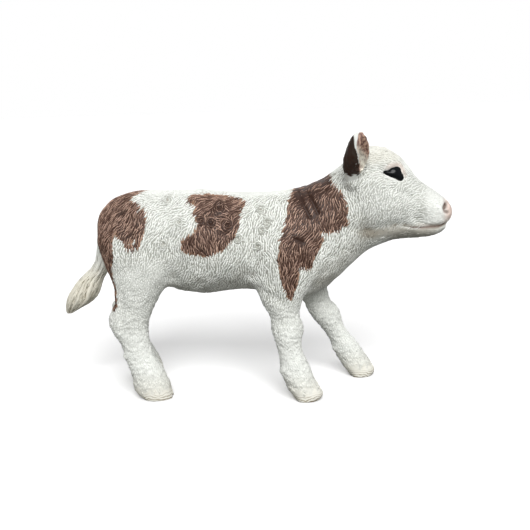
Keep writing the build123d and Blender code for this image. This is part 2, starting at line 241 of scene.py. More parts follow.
# Strength of each area in the hair and the paint of the skin.
BALD = {"bare": 1.0, "crease": 1.0, "sleek": 0.75, "muzzle": 0.4, "limb": 0.2, "under_jaw": 0.7}
SHORTER = {"head": 0.05, "bumpy": 0.4, "muzzle": 0.25}
LONGER = {"brown": 0.25, "poll": 0.4}
CROPPED = {"curl": 0.45, "pressed": 0.6}
FLATTER = {"muzzle": 0.45, "limb": -0.1, "calm": 0.3}
RAISED = {"shaggy": 0.4, "poll": 0.6}
TANGLED = {"bumpy_white": 0.4, "head": 0.2}
BRUSHED = {"bare": 1.0, "thigh": 0.35, "head": 0.25, "muzzle": 0.5, "limb": 0.5, "arm": 0.4, "calm": 0.15}
# Darker paint: a wash in the hollows and creases that also paints their shade; painted shade under the belly,
# the neck, the jaw, the chin and the cheeks, round the lips and the lids and in dark hair between the curls;
# a darker nape and rump, and dull clouds.
WASHED_AND_SHADED = {
    "hollow": 0.9, "crease": 0.8, "chin": 0.9, "jaw": 0.9, "lower_lip": 0.9, "dark_hair": 1.0,
    "upper_lip": 0.6, "lids": 0.4, "belly": 0.6, "throat": 0.45, "nape": 0.3, "rump": 0.2,
    "cheek_shadow": 0.45, "dull_barrel": 0.3, "dull_forehead": 0.3,
}
ROSY = {"nose": 0.9, "eye_rim": 0.5, "lip_skin": 0.25}
# Dark paint in the slit of the mouth and in the nostrils, which also paints the shade in them.
LINED = {"mouth_line": 0.9, "nostril_line": 0.8}
CREAMY = {"pastern": 0.3, "forehead": 0.4}

# Edges of paint, hair and relief: the measure where each begins and where it is full.
FADES = {
    "facing": (0.0, 0.45), "behind": (0.1, 0.8), "in_front": (0.0, 0.5), "heel": (0.5, 3.0),
    "high_lid": (43.4, 45.0), "socket": (-0.05, 0.4), "hoof_rings": (HOOF_TOP, HOOF_TOP - 1.0),
    "hoof": (HOOF_TOP + 0.7, HOOF_TOP - 1.2), "arm": (23.0, 17.0), "belly": (0.2, 1.0), "curl": (1.6, 1.0),
    "crease_side": (0.05, 0.3), "dark_hair": (0.45, 0.15), "hollow": (0.04, 0.24), "brown": (-0.2, 0.3),
    "sleek": (39.0, 40.6), "throat": (32.0, 26.0), "chin": (-0.1, -0.4), "jaw": (0.4, -0.9),
    "jaw_low": (-1.2, -3.0), "lower_lip": (0.45, 0.25), "upper_lip": (1.3, 0.2), "lip_skin": (1.4, 0.3),
    "mouth_line": (0.28, 0.06), "nostril_line": (0.50, 0.12), "bare_nostril": (0.8, 0.4),
    "bare_eye": (-0.25, -0.05), "lids": (-0.45, -0.1), "eye_rim": (-1.0, -0.2), "rosy_lid": (43.6, 45.2),
    "dull_barrel": (-0.4, 1.2), "dull_forehead": (0.0, 1.0),
    "ear_outside": (0.0, 0.3), "ear_top": (50.8, 51.4), "ear_cup": (-0.05, 0.1), "ear_hollow": (0.0, 0.3),
    "ear_rim": (46.0, 46.8), "ear_tuft": (51.4, 48.4), "ear_tuft_edge": (0.0, 0.3),
    "ear_foot": (EAR_FOOT + 0.15, EAR_FOOT - 0.15),
    "tail_tuft": (29.0, 22.0), "tail_hair": (0.95, 0.75), "tail_groove": (0.2, 1.3),
}

# Smoothing: part of the way to the mean of its neighbours that a point goes in each round.
SKIN_GIVES = 0.02
GIVES_MORE = {"shank": 0.05, "trunk": 0.43, "ear_root": 0.14}
CAD_GIVES = 0.5                 # ears and tail
LAST_GIVE = 0.25                # over the sculpted relief
LAST_ROUNDS = 2
UNDER_GIVE = 0.5                # for the even skin that shows where the hollows are
UNDER_ROUNDS = 40

# Relief of the skin in millimetres: heights and depths, and places with their half widths.
EAR_BLEND = 2.4                 # round the root of an ear
SWELLS = 0.12
LUMPS = 0.07
POLL_LUMPS = 0.35
LIMB_LUMPS = 0.07
LUMPS_OFF_TRUNK = 0.3           # share of them that head and legs have
HOCK_FILL = 0.55                # fullness above the right hock
HOCK_TOP = (19.3, 1.9)          # Z
HOCK_AHEAD = -20.0              # X in front of the hocks
FAR_HOCK = 1.7                  # turns the fullness into a slimmer left hock
SET_BACK = 0.6                  # of the left foreleg and the front of the left hind shin
FAR_ARM = (13.5, 5.0)           # Z
FAR_SHIN = (8.0, 3.5)           # Z
HEEL_SLIM = 0.6
MOUTH_CUT = (-0.35, 0.24)       # height and half width
NOSTRIL_CUT = (-0.40, 0.30)
CURL_RING = (0.32, 0.9, 0.35)   # height, then place and half width in radii of the curl
CURL_PIT = (0.22, 0.4)          # depth, and half width in radii
CURL_HOLD = 1.7                 # radii of a curl in which the hair goes round
LID_LOW = 0.02
LID_HIGH = 0.24
LID_LEAN = 0.4                  # share of X in the height that raises a lid
LID_PLACE = (0.30, 0.26)        # beyond the edge of the eye
SOCKET = 0.75
RING_HEIGHT = 0.02              # growth rings of the hooves
RING_PITCH = 0.6
RING_SWAY = 0.15

# Regions of the pieces and their seams, in millimetres.
HEAD_ABOVE = 24.0               # Z above which the neck seam and the head are
HEAD_BEYOND = 8.0               # X beyond which the neck seam is
TAIL_ABOVE = 22.0               # Z above which the rearmost skin is the tail's seat
TAIL_REACH = 2.0                # from the back of the torso
SEAM_REACH = 2.0                # distance from a seam in which faces are cut
EYE_STEPS = 6                   # points of an eye's rim for each of its outline

# Hair and paint of the skin, in millimetres, shares or radians.
NO_PATCH = 4.0                  # distance at which an edge of a patch stops to matter
OWN_SIDE = -0.35                # least share of a normal's Y on its own side of a patch
PATCH_WOBBLE = 0.15
FLECK_HALF = 0.16
LIE_BLUR = 6.0                  # square millimetres round a place where the lie of the hair holds
SWAY_TURN = 0.30                # turns of the hair, wide and narrow
STRAY_TURN = 0.25
EYES_APART = 3.0                # least Y of an eye
NOSTRILS_APART = 1.2
OUT_OF_REACH = 9.0              # stands for a distance to a form of the other side
LIPS_FACE = 0.1                 # least share of Y in a lip's normal
CALM_HAUNCH = ((-15.0, 5.0), (37.0, 7.0))       # X and its half width, Z and its half width
# Spot of painted shadow under the cheek.
CHEEK_SHADOW = ((22.5, 3.0), (34.5, 2.5))
CHIN_TIP_CLEAN = 0.5            # part of the chin's wash that its tip lacks
ROSY_LEAN = 0.5                 # Z to X of the rosy upper lid, from ROSY_MIDDLE on
ROSY_MIDDLE = 28.4
HOOF_WOBBLE = 0.5
THROAT_LEAN = 0.75              # Z to X of the throat's edge, from THROAT_MIDDLE on
THROAT_MIDDLE = 17.0
NAPE_LEAN = 0.3                 # Z to X of the smooth nape's edge, from NAPE_MIDDLE on
NAPE_MIDDLE = 12.0
CREASE_PRESS = 0.9              # width beside a crease where the hair lies pressed
PRESSED_SLEEK = 0.8
ARM_CLEAN = 0.6                 # part of the hollows' wash that the forearm lacks
HAIR_RISE = 0.8
TANGLE = 0.14
# Skin between the locks takes the grooves' dark paint, a wash that also paints the shade of the gaps.
SKIN_RISE = 0.25                # skin between the locks, as dark as a groove
SKIN_BRUSHED = 0.55             # and lighter by this where the brush reached it
MOST_WASH_AND_SHADE = 1.2
# Dark paint and painted shade of the creases.
CREASE_DARK = (1.3, 0.3)        # where the paint of a crease begins and is full, in half widths

# Patterns of the paint in millimetres. Real brush grit is finer, and is drawn coarser so that it shows.
PAINT_GRAINS = (3.0, 1.2, 0.4)  # blotches, smears and grit
GRIT_SHARE = 0.4                # how far the grit moves the edges of the paint
HORN_SWAY = 3.0                 # growth lines of the hooves
HORN_PITCH = 0.55
EAR_STROKE = (0.3, 0.3, 1.3)    # brush strokes along an ear
EYE_CLOUD = 1.5
PAPER_GRAIN = 4.0               # fibres, drawn coarser too
PAPER_GLOW = 0.12               # strength of the light that comes through the paper

# Kinds of node that are used again and again, with their settings.
MIX = ("ShaderNodeMix", {"data_type": "RGBA"})
TIMES = ("ShaderNodeMath", {"operation": "MULTIPLY"})
TIMES_PLUS = ("ShaderNodeMath", {"operation": "MULTIPLY_ADD"})
SOFT_STEP = ("ShaderNodeMapRange", {"interpolation_type": "SMOOTHSTEP"})
FIELD = ("GeometryNodeInputNamedAttribute", {"data_type": "FLOAT"})
ARROW_FIELD = ("GeometryNodeInputNamedAttribute", {"data_type": "FLOAT_VECTOR"})
CHANCE = ("FunctionNodeRandomValue", {"data_type": "FLOAT"})


def linear(text):
    """Linear colour with alpha from an sRGB hex text."""
    parts = [int(text[i:i + 2], 16) / 255 for i in (1, 3, 5)]
    return (*(p / 12.92 if p <= 0.04045 else ((p + 0.055) / 1.055) ** 2.4 for p in parts), 1.0)


def ease(value, low, high):
    """Smooth rise from 0 at low to 1 at high, or fall where low is the greater."""
    share = np.clip((value - low) / (high - low), 0, 1)
    return share * share * (3 - 2 * share)


def fade(value, name):
    """Share of a named edge at each value."""
    return ease(value, *FADES[name])


def bell(value, half):
    """Soft hump of height 1 around a value of 0."""
    return np.exp(-(value / half) ** 2)


def area(points, name):
    """Share of a named soft area at each point."""
    share = np.ones(len(points))
    for axis, start, full in AREAS[name]:
        share *= ease(points[:, "xyz".index(axis)], start, full)
    return share


def added(shares, strengths):
    """Sum of the shares of areas, each times its strength."""
    return sum(strength * shares[name] for name, strength in strengths.items())


def spared(shares, strengths):
    """What is left of 1 after each area has taken its part."""
    return math.prod(1 - strength * shares[name] for name, strength in strengths.items())


def drift(points, name):
    """Smooth random field of about -1 to 1, made of a few plane waves."""
    wavelength, seed = DRIFTS[name]
    random = np.random.default_rng(seed)
    total = np.zeros(len(points))
    waves = 9
    for _ in range(waves):
        way = random.normal(size=3)
        way *= 2 * math.pi / (wavelength * random.uniform(0.7, 1.5) * np.linalg.norm(way))
        total += np.sin(points @ way + random.uniform(0, 2 * math.pi))
    return total / math.sqrt(waves)


def path_distance(places, path):
    """Distance of each place in the plane to a path of straight runs, or to its one point."""
    runs = list(zip(path[:-1], path[1:])) or [(path[0], path[0])]
    best = np.full(len(places), np.inf)
    for start, end in runs:
        start, run = np.array(start), np.array(end) - np.array(start)
        share = np.clip((places - start) @ run / max(run @ run, 1e-9), 0, 1)
        best = np.minimum(best, np.linalg.norm(places - start - share[:, None] * run, axis=1))
    return best


def inside_distance(places, outline):
    """Distance to a closed outline in the plane, positive inside it."""
    closed = (*outline, outline[0])
    inside = np.zeros(len(places), bool)
    for (x0, z0), (x1, z1) in zip(closed[:-1], closed[1:]):
        if z0 != z1:
            crosses = (z0 > places[:, 1]) != (z1 > places[:, 1])
            inside ^= crosses & (places[:, 0] < x0 + (places[:, 1] - z0) * (x1 - x0) / (z1 - z0))
    return np.where(inside, 1, -1) * path_distance(places, closed)


def rounded(outline, steps):
    """Closed smooth curve through the points of an outline."""
    knots = np.array(outline)
    before, after, later = np.roll(knots, 1, 0), np.roll(knots, -1, 0), np.roll(knots, -2, 0)
    curve = []
    for share in np.arange(steps) / steps:
        curve.append(0.5 * (2 * knots + (after - before) * share
                            + (2 * before - 5 * knots + 4 * after - later) * share ** 2
                            + (3 * knots - before - 3 * after + later) * share ** 3))
    return np.stack(curve, 1).reshape(-1, 2)


def node_copy(*names):
    """Copy of CAD nodes in one bmesh, with the corners of their loose triangles merged."""
    copy = bmesh.new()
    for name in names:
        copy.from_mesh(frame["nodes"][name].data)
    bmesh.ops.remove_doubles(copy, verts=copy.verts, dist=1e-7)
    return copy


def new_object(name, mesh):
    """Object at the origin in the scene."""
    obj = bpy.data.objects.new(name, mesh)
    bpy.context.scene.collection.objects.link(obj)
    return obj


def even_quads(copy, voxel):
    """Points in millimetres and quads of one closed skin around all that the copy holds."""
    mesh = bpy.data.meshes.new("fused")
    copy.to_mesh(mesh)
    copy.free()
    obj = new_object("fused", mesh)
    remesh = obj.modifiers.new("Even quads", "REMESH")
    remesh.mode = "VOXEL"
    remesh.voxel_size = voxel
    fused = bpy.data.meshes.new_from_object(obj.evaluated_get(bpy.context.evaluated_depsgraph_get()))
    bpy.data.objects.remove(obj)
    outer = bmesh.new()
    outer.from_mesh(fused)
    waiting = [max(outer.verts, key=lambda vert: vert.co.z)]
    reached = set(waiting)
    while waiting:
        for edge in waiting.pop().link_edges:
            for vert in edge.verts:
                if vert not in reached:
                    reached.add(vert)
                    waiting.append(vert)
    bmesh.ops.delete(outer, geom=[vert for vert in outer.verts if vert not in reached])
    outer.to_mesh(fused)
    outer.free()
    points = np.empty(len(fused.vertices) * 3)
    fused.vertices.foreach_get("co", points)
    corners = np.empty(len(fused.loops), np.int32)
    fused.loops.foreach_get("vertex_index", corners)
    bpy.data.meshes.remove(fused)
    return points.reshape(-1, 3) / MM, corners.reshape(-1, 4)


def quad_edges(quads):
    """Each edge of the quads once, as pairs of point numbers."""
    pairs = np.concatenate([quads[:, [i, (i + 1) % 4]] for i in range(4)])
    return np.unique(np.sort(pairs, axis=1), axis=0)


def relax(points, edges, weight, rounds):
    """Points after drifting towards the mean of their neighbours, as far as their weight lets them."""
    points = points.copy()
    first, second = edges.T
    count = np.bincount(edges.ravel(), minlength=len(points))
    for _ in range(rounds):
        for axis in range(3):
            line = points[:, axis]
            total = np.bincount(first, line[second], len(line)) + np.bincount(second, line[first], len(line))
            points[:, axis] += weight * (total / count - line)
    return points


def outward(points, quads):
    """Normals at the points of a mesh of quads."""
    a, b, c, d = (points[quads[:, i]] for i in range(4))
    face = np.cross(c - a, d - b)
    normals = np.stack([
        sum(np.bincount(quads[:, i], face[:, axis], len(points)) for i in range(4)) for axis in range(3)
    ], 1)
    return normals / np.linalg.norm(normals, axis=1, keepdims=True)


def core_line(points, count, reach):
    """Heights along a slim upright form, and the mean X and Y of its points near each of them."""
    z = points[:, 2]
    levels = np.linspace(z.min(), z.max(), count)
    return levels, np.array([points[np.abs(z - level) < reach, :2].mean(0) for level in levels])


def mesh_from(name, points, quads, fields):
    """Smooth mesh in metres with fields of numbers or vectors stored on its points."""
    mesh = bpy.data.meshes.new(name)
    mesh.from_pydata((points * MM).tolist(), [], quads.tolist())
    for field, values in fields.items():
        store(mesh, field, values)
    mesh.shade_smooth()
    return mesh


def store(mesh, field, values):
    """Writes a field of numbers or vectors on the points of a mesh."""
    kind, key = ("FLOAT", "value") if values.ndim == 1 else ("FLOAT_VECTOR", "vector")
    layer = mesh.attributes.get(field) or mesh.attributes.new(field, kind, "POINT")
    layer.data.foreach_set(key, values.astype(np.float32).ravel())


def show(obj, slot, *nodes):
    """Lets a finished piece ride on the figurine and stand for its CAD nodes."""
    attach(obj, "root")
    if nodes:
        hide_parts(*nodes)


def quarter(leg):
    """Signs of X from the middle of the belly and of Y, in a leg's quarter of the body."""
    return 1 if "fore" in leg else -1, SIDES[leg.split("_")[0]]


def leg_seams():
    """Height of the level seam above each leg, in millimetres."""
    return {leg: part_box(leg)[1].z / MM - LEG_PEG for leg in LEGS}


def piece_numbers(points):
    """Number of the piece that each point belongs to: 0 the torso, 1 the head, then the legs in order."""
    x, y, z = points.T
    seam_x, seam_z = NECK_SEAM
    ahead = (x - seam_x) * math.cos(NECK_TILT) + (z - seam_z) * math.sin(NECK_TILT)
    numbers = np.where((ahead > 0) & (z > HEAD_ABOVE), 1, 0)
    in_rump = (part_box("torso")[0].x / MM + TAIL_REACH > x) & (z > TAIL_ABOVE)
    for number, (leg, seam) in enumerate(leg_seams().items(), 2):
        fore, side = quarter(leg)
        own = (fore * (x - BELLY_MIDDLE) > 0) & (side * y > 0)
        numbers = np.where(own & (z < seam) & ~in_rump, number, numbers)
    return numbers


def curl_distance(places, curl):
    """Distance of each place to the middle of a curl, in its radii."""
    x, z, radius, _ = curl
    return np.linalg.norm(places - (x, z), axis=1) / radius


def eye_rim():
    """Points round the almond of an eye."""
    return rounded(EYE_OUTLINE, EYE_STEPS)


def body_solids():
    """Copy of the CAD nodes that the skin covers, with the tail's root and mounds for the ears' roots."""
    copy = node_copy("torso", "head", *LEGS, "right_eye", "left_eye")
    dock = node_copy("tail")
    bmesh.ops.bisect_plane(dock, geom=[*dock.verts, *dock.edges, *dock.faces], clear_inner=True,
                           plane_co=(0, 0, TAIL_LEAVES * MM), plane_no=(0, 0, 1))
    bmesh.ops.holes_fill(dock, edges=[edge for edge in dock.edges if edge.is_boundary])
    stub = bpy.data.meshes.new("dock")
    dock.to_mesh(stub)
    dock.free()
    copy.from_mesh(stub)
    for side in SIDES.values():
        place = Vector((EAR_ROOT[0], side * EAR_ROOT[1], EAR_ROOT[2])) * MM
        bmesh.ops.create_icosphere(copy, subdivisions=3, radius=EAR_ROOT_RADIUS * MM,
                                   matrix=Matrix.Translation(place))
    return copy


def lumps(fused, points, normals):
    """Height of the uneven coat, of the fuller right hock and of the left legs that stand further back,
    with its areas taken from the fused points, before they were smoothed."""
    x, _, z = fused.T
    at = {name: area(fused, name) for name in ("trunk", "haired", "rough", "poll", "far")}
    height = SWELLS * drift(points, "swells") + LUMPS * drift(points, "lumps")
    height += POLL_LUMPS * at["poll"] * drift(points, "poll")
    height *= (LUMPS_OFF_TRUNK + (1 - LUMPS_OFF_TRUNK) * at["trunk"]) * at["haired"]
    height += LIMB_LUMPS * at["rough"] * drift(points, "limb")
    hock_z, hock_half = HOCK_TOP
    hock = bell(z - hock_z, hock_half) * fade(-normals[:, 0], "behind") * (x < HOCK_AHEAD)
    arm_z, arm_half = FAR_ARM
    arm = at["far"] * bell(z - arm_z, arm_half) * (x > BELLY_MIDDLE)
    shin_z, shin_half = FAR_SHIN
    shin = at["far"] * bell(z - shin_z, shin_half) * (x < BELLY_MIDDLE) * fade(normals[:, 0], "in_front")
    height += HOCK_FILL * hock * (1 - FAR_HOCK * at["far"])
    return height - SET_BACK * (arm + shin) * normals[:, 0]


def folds(places):
    """Height of the folds, creases, curls and lids at places in X and Z of a flank."""
    forms = [
        *FOLDS,
        *((-depth, half_width, path) for depth, half_width, path in CREASES),
        (*MOUTH_CUT, MOUTH),
        (*NOSTRIL_CUT, NOSTRIL),
    ]
    height = np.zeros(len(places))
    for rise, half_width, path in forms:
        height += rise * bell(path_distance(places, path), half_width)
    ring, ring_place, ring_half = CURL_RING
    pit, pit_half = CURL_PIT
    for curl in CURLS:
        away = curl_distance(places, curl)
        height += ring * bell(away - ring_place, ring_half) - pit * bell(away, pit_half)
    rim = eye_rim()
    beyond = -inside_distance(places, rim)
    leaning = places[:, 1] + LID_LEAN * (places[:, 0] - rim[:, 0].mean())
    lid = LID_LOW + LID_HIGH * fade(leaning, "high_lid")
    lid_place, lid_half = LID_PLACE
    return height + lid * bell(beyond - lid_place, lid_half) - SOCKET * fade(-beyond, "socket")


def slim_heels(points):
    """Moves the heels forward, most at the ground."""
    numbers = piece_numbers(points)
    low = area(points, "sole")
    for number in range(2, 2 + len(LEGS)):
        middle = np.mean(points[(numbers == number) & (low > 0), 0])
        behind = fade(middle - points[:, 0], "heel") * (numbers == number)
        points[:, 0] += HEEL_SLIM * low * behind


def sculpted_skin():
    """Fused skin of torso, head and legs with its folds: points, quads, edges, normals and,
    for paint that follows the folds, the X and Z of each point before it was folded."""
    size = bpy.context.scene.calf_sizes
    fused, quads = even_quads(body_solids(), size.skin_quad)
    edges = quad_edges(quads)
    x, y, z = fused.T
    from_ear = np.linalg.norm(np.stack([x, np.abs(y), z], 1) - EAR_ROOT, axis=1)
    at = {name: area(fused, name) for name in ("trunk", "shank")}
    at["ear_root"] = bell(from_ear, EAR_BLEND)
    points = relax(fused, edges, SKIN_GIVES + added(at, GIVES_MORE), size.blend_rounds)
    normals = outward(points, quads)
    points += normals * lumps(fused, points, normals)[:, None]
    places = points[:, [0, 2]]
    height = folds(places)
    for side in SIDES.values():
        points += normals * (height * fade(normals[:, 1] * side, "facing"))[:, None]
    slim_heels(points)
    wave = points[:, 2] + RING_SWAY * drift(points, "hoof_rings")
    rings = RING_HEIGHT * np.sin(2 * math.pi * wave / RING_PITCH) * fade(points[:, 2], "hoof_rings")
    level = np.linalg.norm(normals[:, :2], axis=1, keepdims=True)
    points += normals * rings[:, None] * level
    points = relax(points, edges, np.full(len(points), LAST_GIVE), LAST_ROUNDS)
    points[:, 2] = np.maximum(points[:, 2], 0.0)
    return points, quads, edges, outward(points, quads), places


def along_skin(ways, normals):
    """Unit arrows along the skin from arrows of any direction."""
    ways = ways - normals * np.sum(ways * normals, axis=1, keepdims=True)
    return ways / (np.linalg.norm(ways, axis=1, keepdims=True) + 1e-6)


def hair_lie(points, normals):
    """Way that the hair points at each place of the skin, along the skin."""
    places = points[:, [0, 2]]
    total = np.zeros((len(points), 2))
    for place, way in HAIR_LIES:
        nearness = 1 / (np.sum((places - place) ** 2, axis=1) + LIE_BLUR) ** 2
        total += nearness[:, None] * np.array(way)
    total /= np.linalg.norm(total, axis=1, keepdims=True)
    for curl in CURLS:
        x, z, _, sense = curl
        near = np.exp(-(curl_distance(places, curl) / CURL_HOLD) ** 4)
        round_it = sense * np.stack([z - places[:, 1], places[:, 0] - x], 1)
        round_it /= np.linalg.norm(round_it, axis=1, keepdims=True) + 1e-6
        total += near[:, None] * (round_it - total)
    ways = along_skin(np.stack([total[:, 0], np.zeros(len(points)), total[:, 1]], 1), normals)
    turn = SWAY_TURN * drift(points, "sway") + STRAY_TURN * drift(points, "stray")
    return ways * np.cos(turn)[:, None] + np.cross(normals, ways) * np.sin(turn)[:, None]


def patch_depth(points, normals):
    """Distance in from the edge of the brown patches, negative on the white."""
    wobble = np.stack([drift(points, "patch_x"), drift(points, "patch_z")], 1)
    places = points[:, [0, 2]] + PATCH_WOBBLE * wobble
    depth = np.full(len(points), -NO_PATCH)
    for name, side in SIDES.items():
        own = (points[:, 1] * side > 0) & (normals[:, 1] * side > OWN_SIDE)
        for outline in PATCHES[name]:
            depth = np.where(own, np.maximum(depth, inside_distance(places, outline)), depth)
    for fleck in FLECKS:
        left_white = path_distance(places, fleck) - FLECK_HALF
        depth = np.where(points[:, 1] < 0, np.minimum(depth, left_white), depth)
    return np.clip(depth, -NO_PATCH, NO_PATCH)


def spot(points, middle):
    """Soft round spot at X and Z, each with its half width."""
    (x, half_x), (z, half_z) = middle
    return bell(points[:, 0] - x, half_x) * bell(points[:, 2] - z, half_z)


def face_shares(points, normals, moulded, at):
    """Adds the areas round the eyes, the mouth, the nostrils and the jaw to the shares."""
    x, y, z = points.T
    eye = np.where(np.abs(y) > EYES_APART, inside_distance(points[:, [0, 2]], eye_rim()), -OUT_OF_REACH)
    mouth = np.where(normals[:, 1] * np.sign(y) > LIPS_FACE, path_distance(moulded, MOUTH), OUT_OF_REACH)
    nostril = np.where(np.abs(y) > NOSTRILS_APART, path_distance(moulded, NOSTRIL), OUT_OF_REACH)
    over_mouth = moulded[:, 1] - np.interp(moulded[:, 0], *np.transpose(MOUTH))
    over_jaw = z - np.interp(x, *np.transpose(CHEEK_EDGE))
    # Painted shade under the chin and along the jaw, above the mouth and on the lower lip, and round the
    # lids.
    at["chin"] *= fade(over_mouth, "chin") * (1 - CHIN_TIP_CLEAN * at["chin_tip"])
    at["jaw"] *= fade(over_jaw, "jaw") * (1 - at["jaw_back"] * fade(over_jaw, "jaw_low"))
    at["under_jaw"] = np.maximum(at["jaw"], at["chin"])
    at["lower_lip"] *= fade(mouth, "lower_lip") * (over_mouth < 0)
    at["upper_lip"] = fade(mouth, "upper_lip") * (over_mouth > 0)
    at["lip_skin"] = at["muzzle"] * fade(mouth, "lip_skin") * (over_mouth > 0)
    at["mouth_line"] = at["lips"] * fade(mouth, "mouth_line")
    at["nostril_line"] = fade(nostril, "nostril_line")
    at["lids"] = fade(eye, "lids")
    at["eye_rim"] = fade(eye, "eye_rim") * fade(z + ROSY_LEAN * (x - ROSY_MIDDLE), "rosy_lid")
    at["cheek_shadow"] = spot(points, CHEEK_SHADOW)
    bare = at["hoof"] + at["nose"] + at["lower_lip"] + fade(eye, "bare_eye") + fade(nostril, "bare_nostril")
    at["bare"] = np.clip(bare, 0, 1)


def body_shares(points, edges, normals, moulded):
    """Shares of the areas of trunk, neck and legs at each point of the skin."""
    x, _, z = points.T
    places = points[:, [0, 2]]
    at = {name: area(points, name) for name in AREAS}
    at["hoof"] = fade(z + HOOF_WOBBLE * drift(points, "hoof_edge"), "hoof")
    at["arm"] = fade(z, "arm") * (x > BELLY_MIDDLE)
    at["bumpy"] = np.max([at["limb"], at["thigh"], at["arm"]], axis=0)
    at["calm"] = spot(points, CALM_HAUNCH)
    # Painted shade under the belly, where the skin faces down, and under the neck.
    at["belly"] *= fade(-normals[:, 2], "belly")
    at["throat"] *= fade(z - THROAT_LEAN * (x - THROAT_MIDDLE), "throat")
    at["curl"] = np.max([fade(curl_distance(places, curl), "curl") for curl in CURLS], axis=0)
    # Dark paint and painted shade in the creases, and pressed hair beside them.
    near = [(path_distance(moulded, path), half) for _, half, path in CREASES]
    outer, inner = CREASE_DARK
    crease = np.max([ease(away, outer * half, inner * half) for away, half in near], axis=0)
    at["crease"] = crease * fade(np.abs(normals[:, 1]), "crease_side")
    at["pressed"] = np.max([ease(away, half + CREASE_PRESS, half) for away, half in near], axis=0)
    sleek = at["neck"] * fade(z - NAPE_LEAN * (x - NAPE_MIDDLE), "sleek")
    at["sleek"] = np.maximum(sleek, PRESSED_SLEEK * at["pressed"])
    # Darker paint in the hollows of the skin, less on the forearm: a wash that also paints the shade in them.
    under = relax(points, edges, np.full(len(points), UNDER_GIVE), UNDER_ROUNDS)
    hollow = fade(np.sum((under - points) * normals, axis=1), "hollow")
    at["hollow"] = hollow * (1 - ARM_CLEAN * at["arm"])
    at["dull_barrel"] = at["barrel"] * fade(drift(points, "barrel"), "dull_barrel")
    at["dull_forehead"] = at["forehead"] * fade(drift(points, "forehead"), "dull_forehead")
    return at


def skin_fields(points, edges, normals, moulded):
    """Paint and hair of each point of the skin."""
    at = body_shares(points, edges, normals, moulded)
    face_shares(points, normals, moulded, at)
    depth = patch_depth(points, normals)
    at["brown"] = fade(depth, "brown")
    at["rump"] *= at["brown"]
    at["shaggy"] = at["brown"] * (1 - at["nape"])
    at["bumpy_white"] = at["bumpy"] * (1 - at["brown"])
    places = points[:, [0, 2]]
    dark = np.max([fade(path_distance(places, path), "dark_hair") for path in DARK_HAIR], axis=0)
    at["dark_hair"] = dark * at["brown"]
    brushed = np.max([strength * at[name] for name, strength in BRUSHED.items()], axis=0)
    return {
        "lie": hair_lie(points, normals),
        "skin_normal": normals,
        "brown": depth,
        "hair": spared(at, BALD),
        "hair_length": (spared(at, SHORTER) + added(at, LONGER)) * spared(at, CROPPED),
        "hair_rise": HAIR_RISE * spared(at, FLATTER) + added(at, RAISED),
        "tangle": TANGLE + added(at, TANGLED),
        "rise": SKIN_RISE + SKIN_BRUSHED * brushed,
        "tone": np.zeros(len(points)),
        "wash_and_shade": np.clip(added(at, WASHED_AND_SHADED), 0, MOST_WASH_AND_SHADE),
        "pink": np.clip(added(at, ROSY), 0, 1),
        "horn": at["hoof"],
        "line": np.clip(added(at, LINED), 0, 1),
        "cream": added(at, CREAMY),
    }


def by_seam(at, leg):
    """Whether a place in millimetres is near a leg's seam, or near the neck's if there is no leg."""
    if leg is None:
        return at.z > HEAD_ABOVE and at.x > HEAD_BEYOND
    fore, side = quarter(leg)
    return fore * (at.x - BELLY_MIDDLE) > 0 and side * at.y > 0


def cut_skin(mesh):
    """Closed meshes of the torso, the head and the legs, parted at their seams."""
    whole = bmesh.new()
    whole.from_mesh(mesh)
    neck = Vector((NECK_SEAM[0], 0, NECK_SEAM[1])) * MM
    seams = [(neck, Vector((math.cos(NECK_TILT), 0, math.sin(NECK_TILT))), None)]
    for leg, seam in leg_seams().items():
        seams.append((Vector((0, 0, seam * MM)), Vector((0, 0, 1)), leg))
    for place, normal, leg in seams:
        faces = []
        for face in whole.faces:
            at = face.calc_center_median()
            if abs((at - place).dot(normal)) < SEAM_REACH * MM and by_seam(at / MM, leg):
                faces.append(face)
        near = {part for face in faces for part in (*face.edges, *face.verts)}
        bmesh.ops.bisect_plane(whole, geom=[*faces, *near], plane_co=place, plane_no=normal)
    centres = np.array([face.calc_center_median() for face in whole.faces]) / MM
    numbers = piece_numbers(centres)
    meshes = []
    for number, name in enumerate(PIECES):
        part = whole.copy()
        part.faces.ensure_lookup_table()
        others = [part.faces[i] for i in np.flatnonzero(numbers != number)]
        bmesh.ops.delete(part, geom=others, context="FACES")
        rim = [edge for edge in part.edges if edge.is_boundary]
        for edge in rim:
            edge.smooth = False
        caps = bmesh.ops.holes_fill(part, edges=rim)["faces"]
        bmesh.ops.triangulate(part, faces=caps)
        bmesh.ops.recalc_face_normals(part, faces=part.faces)
        made = bpy.data.meshes.new(name + "_skin")
        made.materials.append(mesh.materials[0])
        part.to_mesh(made)
        part.free()
        meshes.append((name, made))
    whole.free()
    return meshes


def add_node(tree, kind, settings, inputs, out=0):
    """Adds a node with its settings, fills or links its inputs and returns one of its outputs."""
    node = tree.nodes.new(kind)
    for key, value in settings.items():
        setattr(node, key, value)
    for key, value in inputs.items():
        if isinstance(value, bpy.types.NodeSocket):
            tree.links.new(value, node.inputs[key])
        else:
            node.inputs[key].default_value = value
    return node.outputs[out] if node.outputs else None


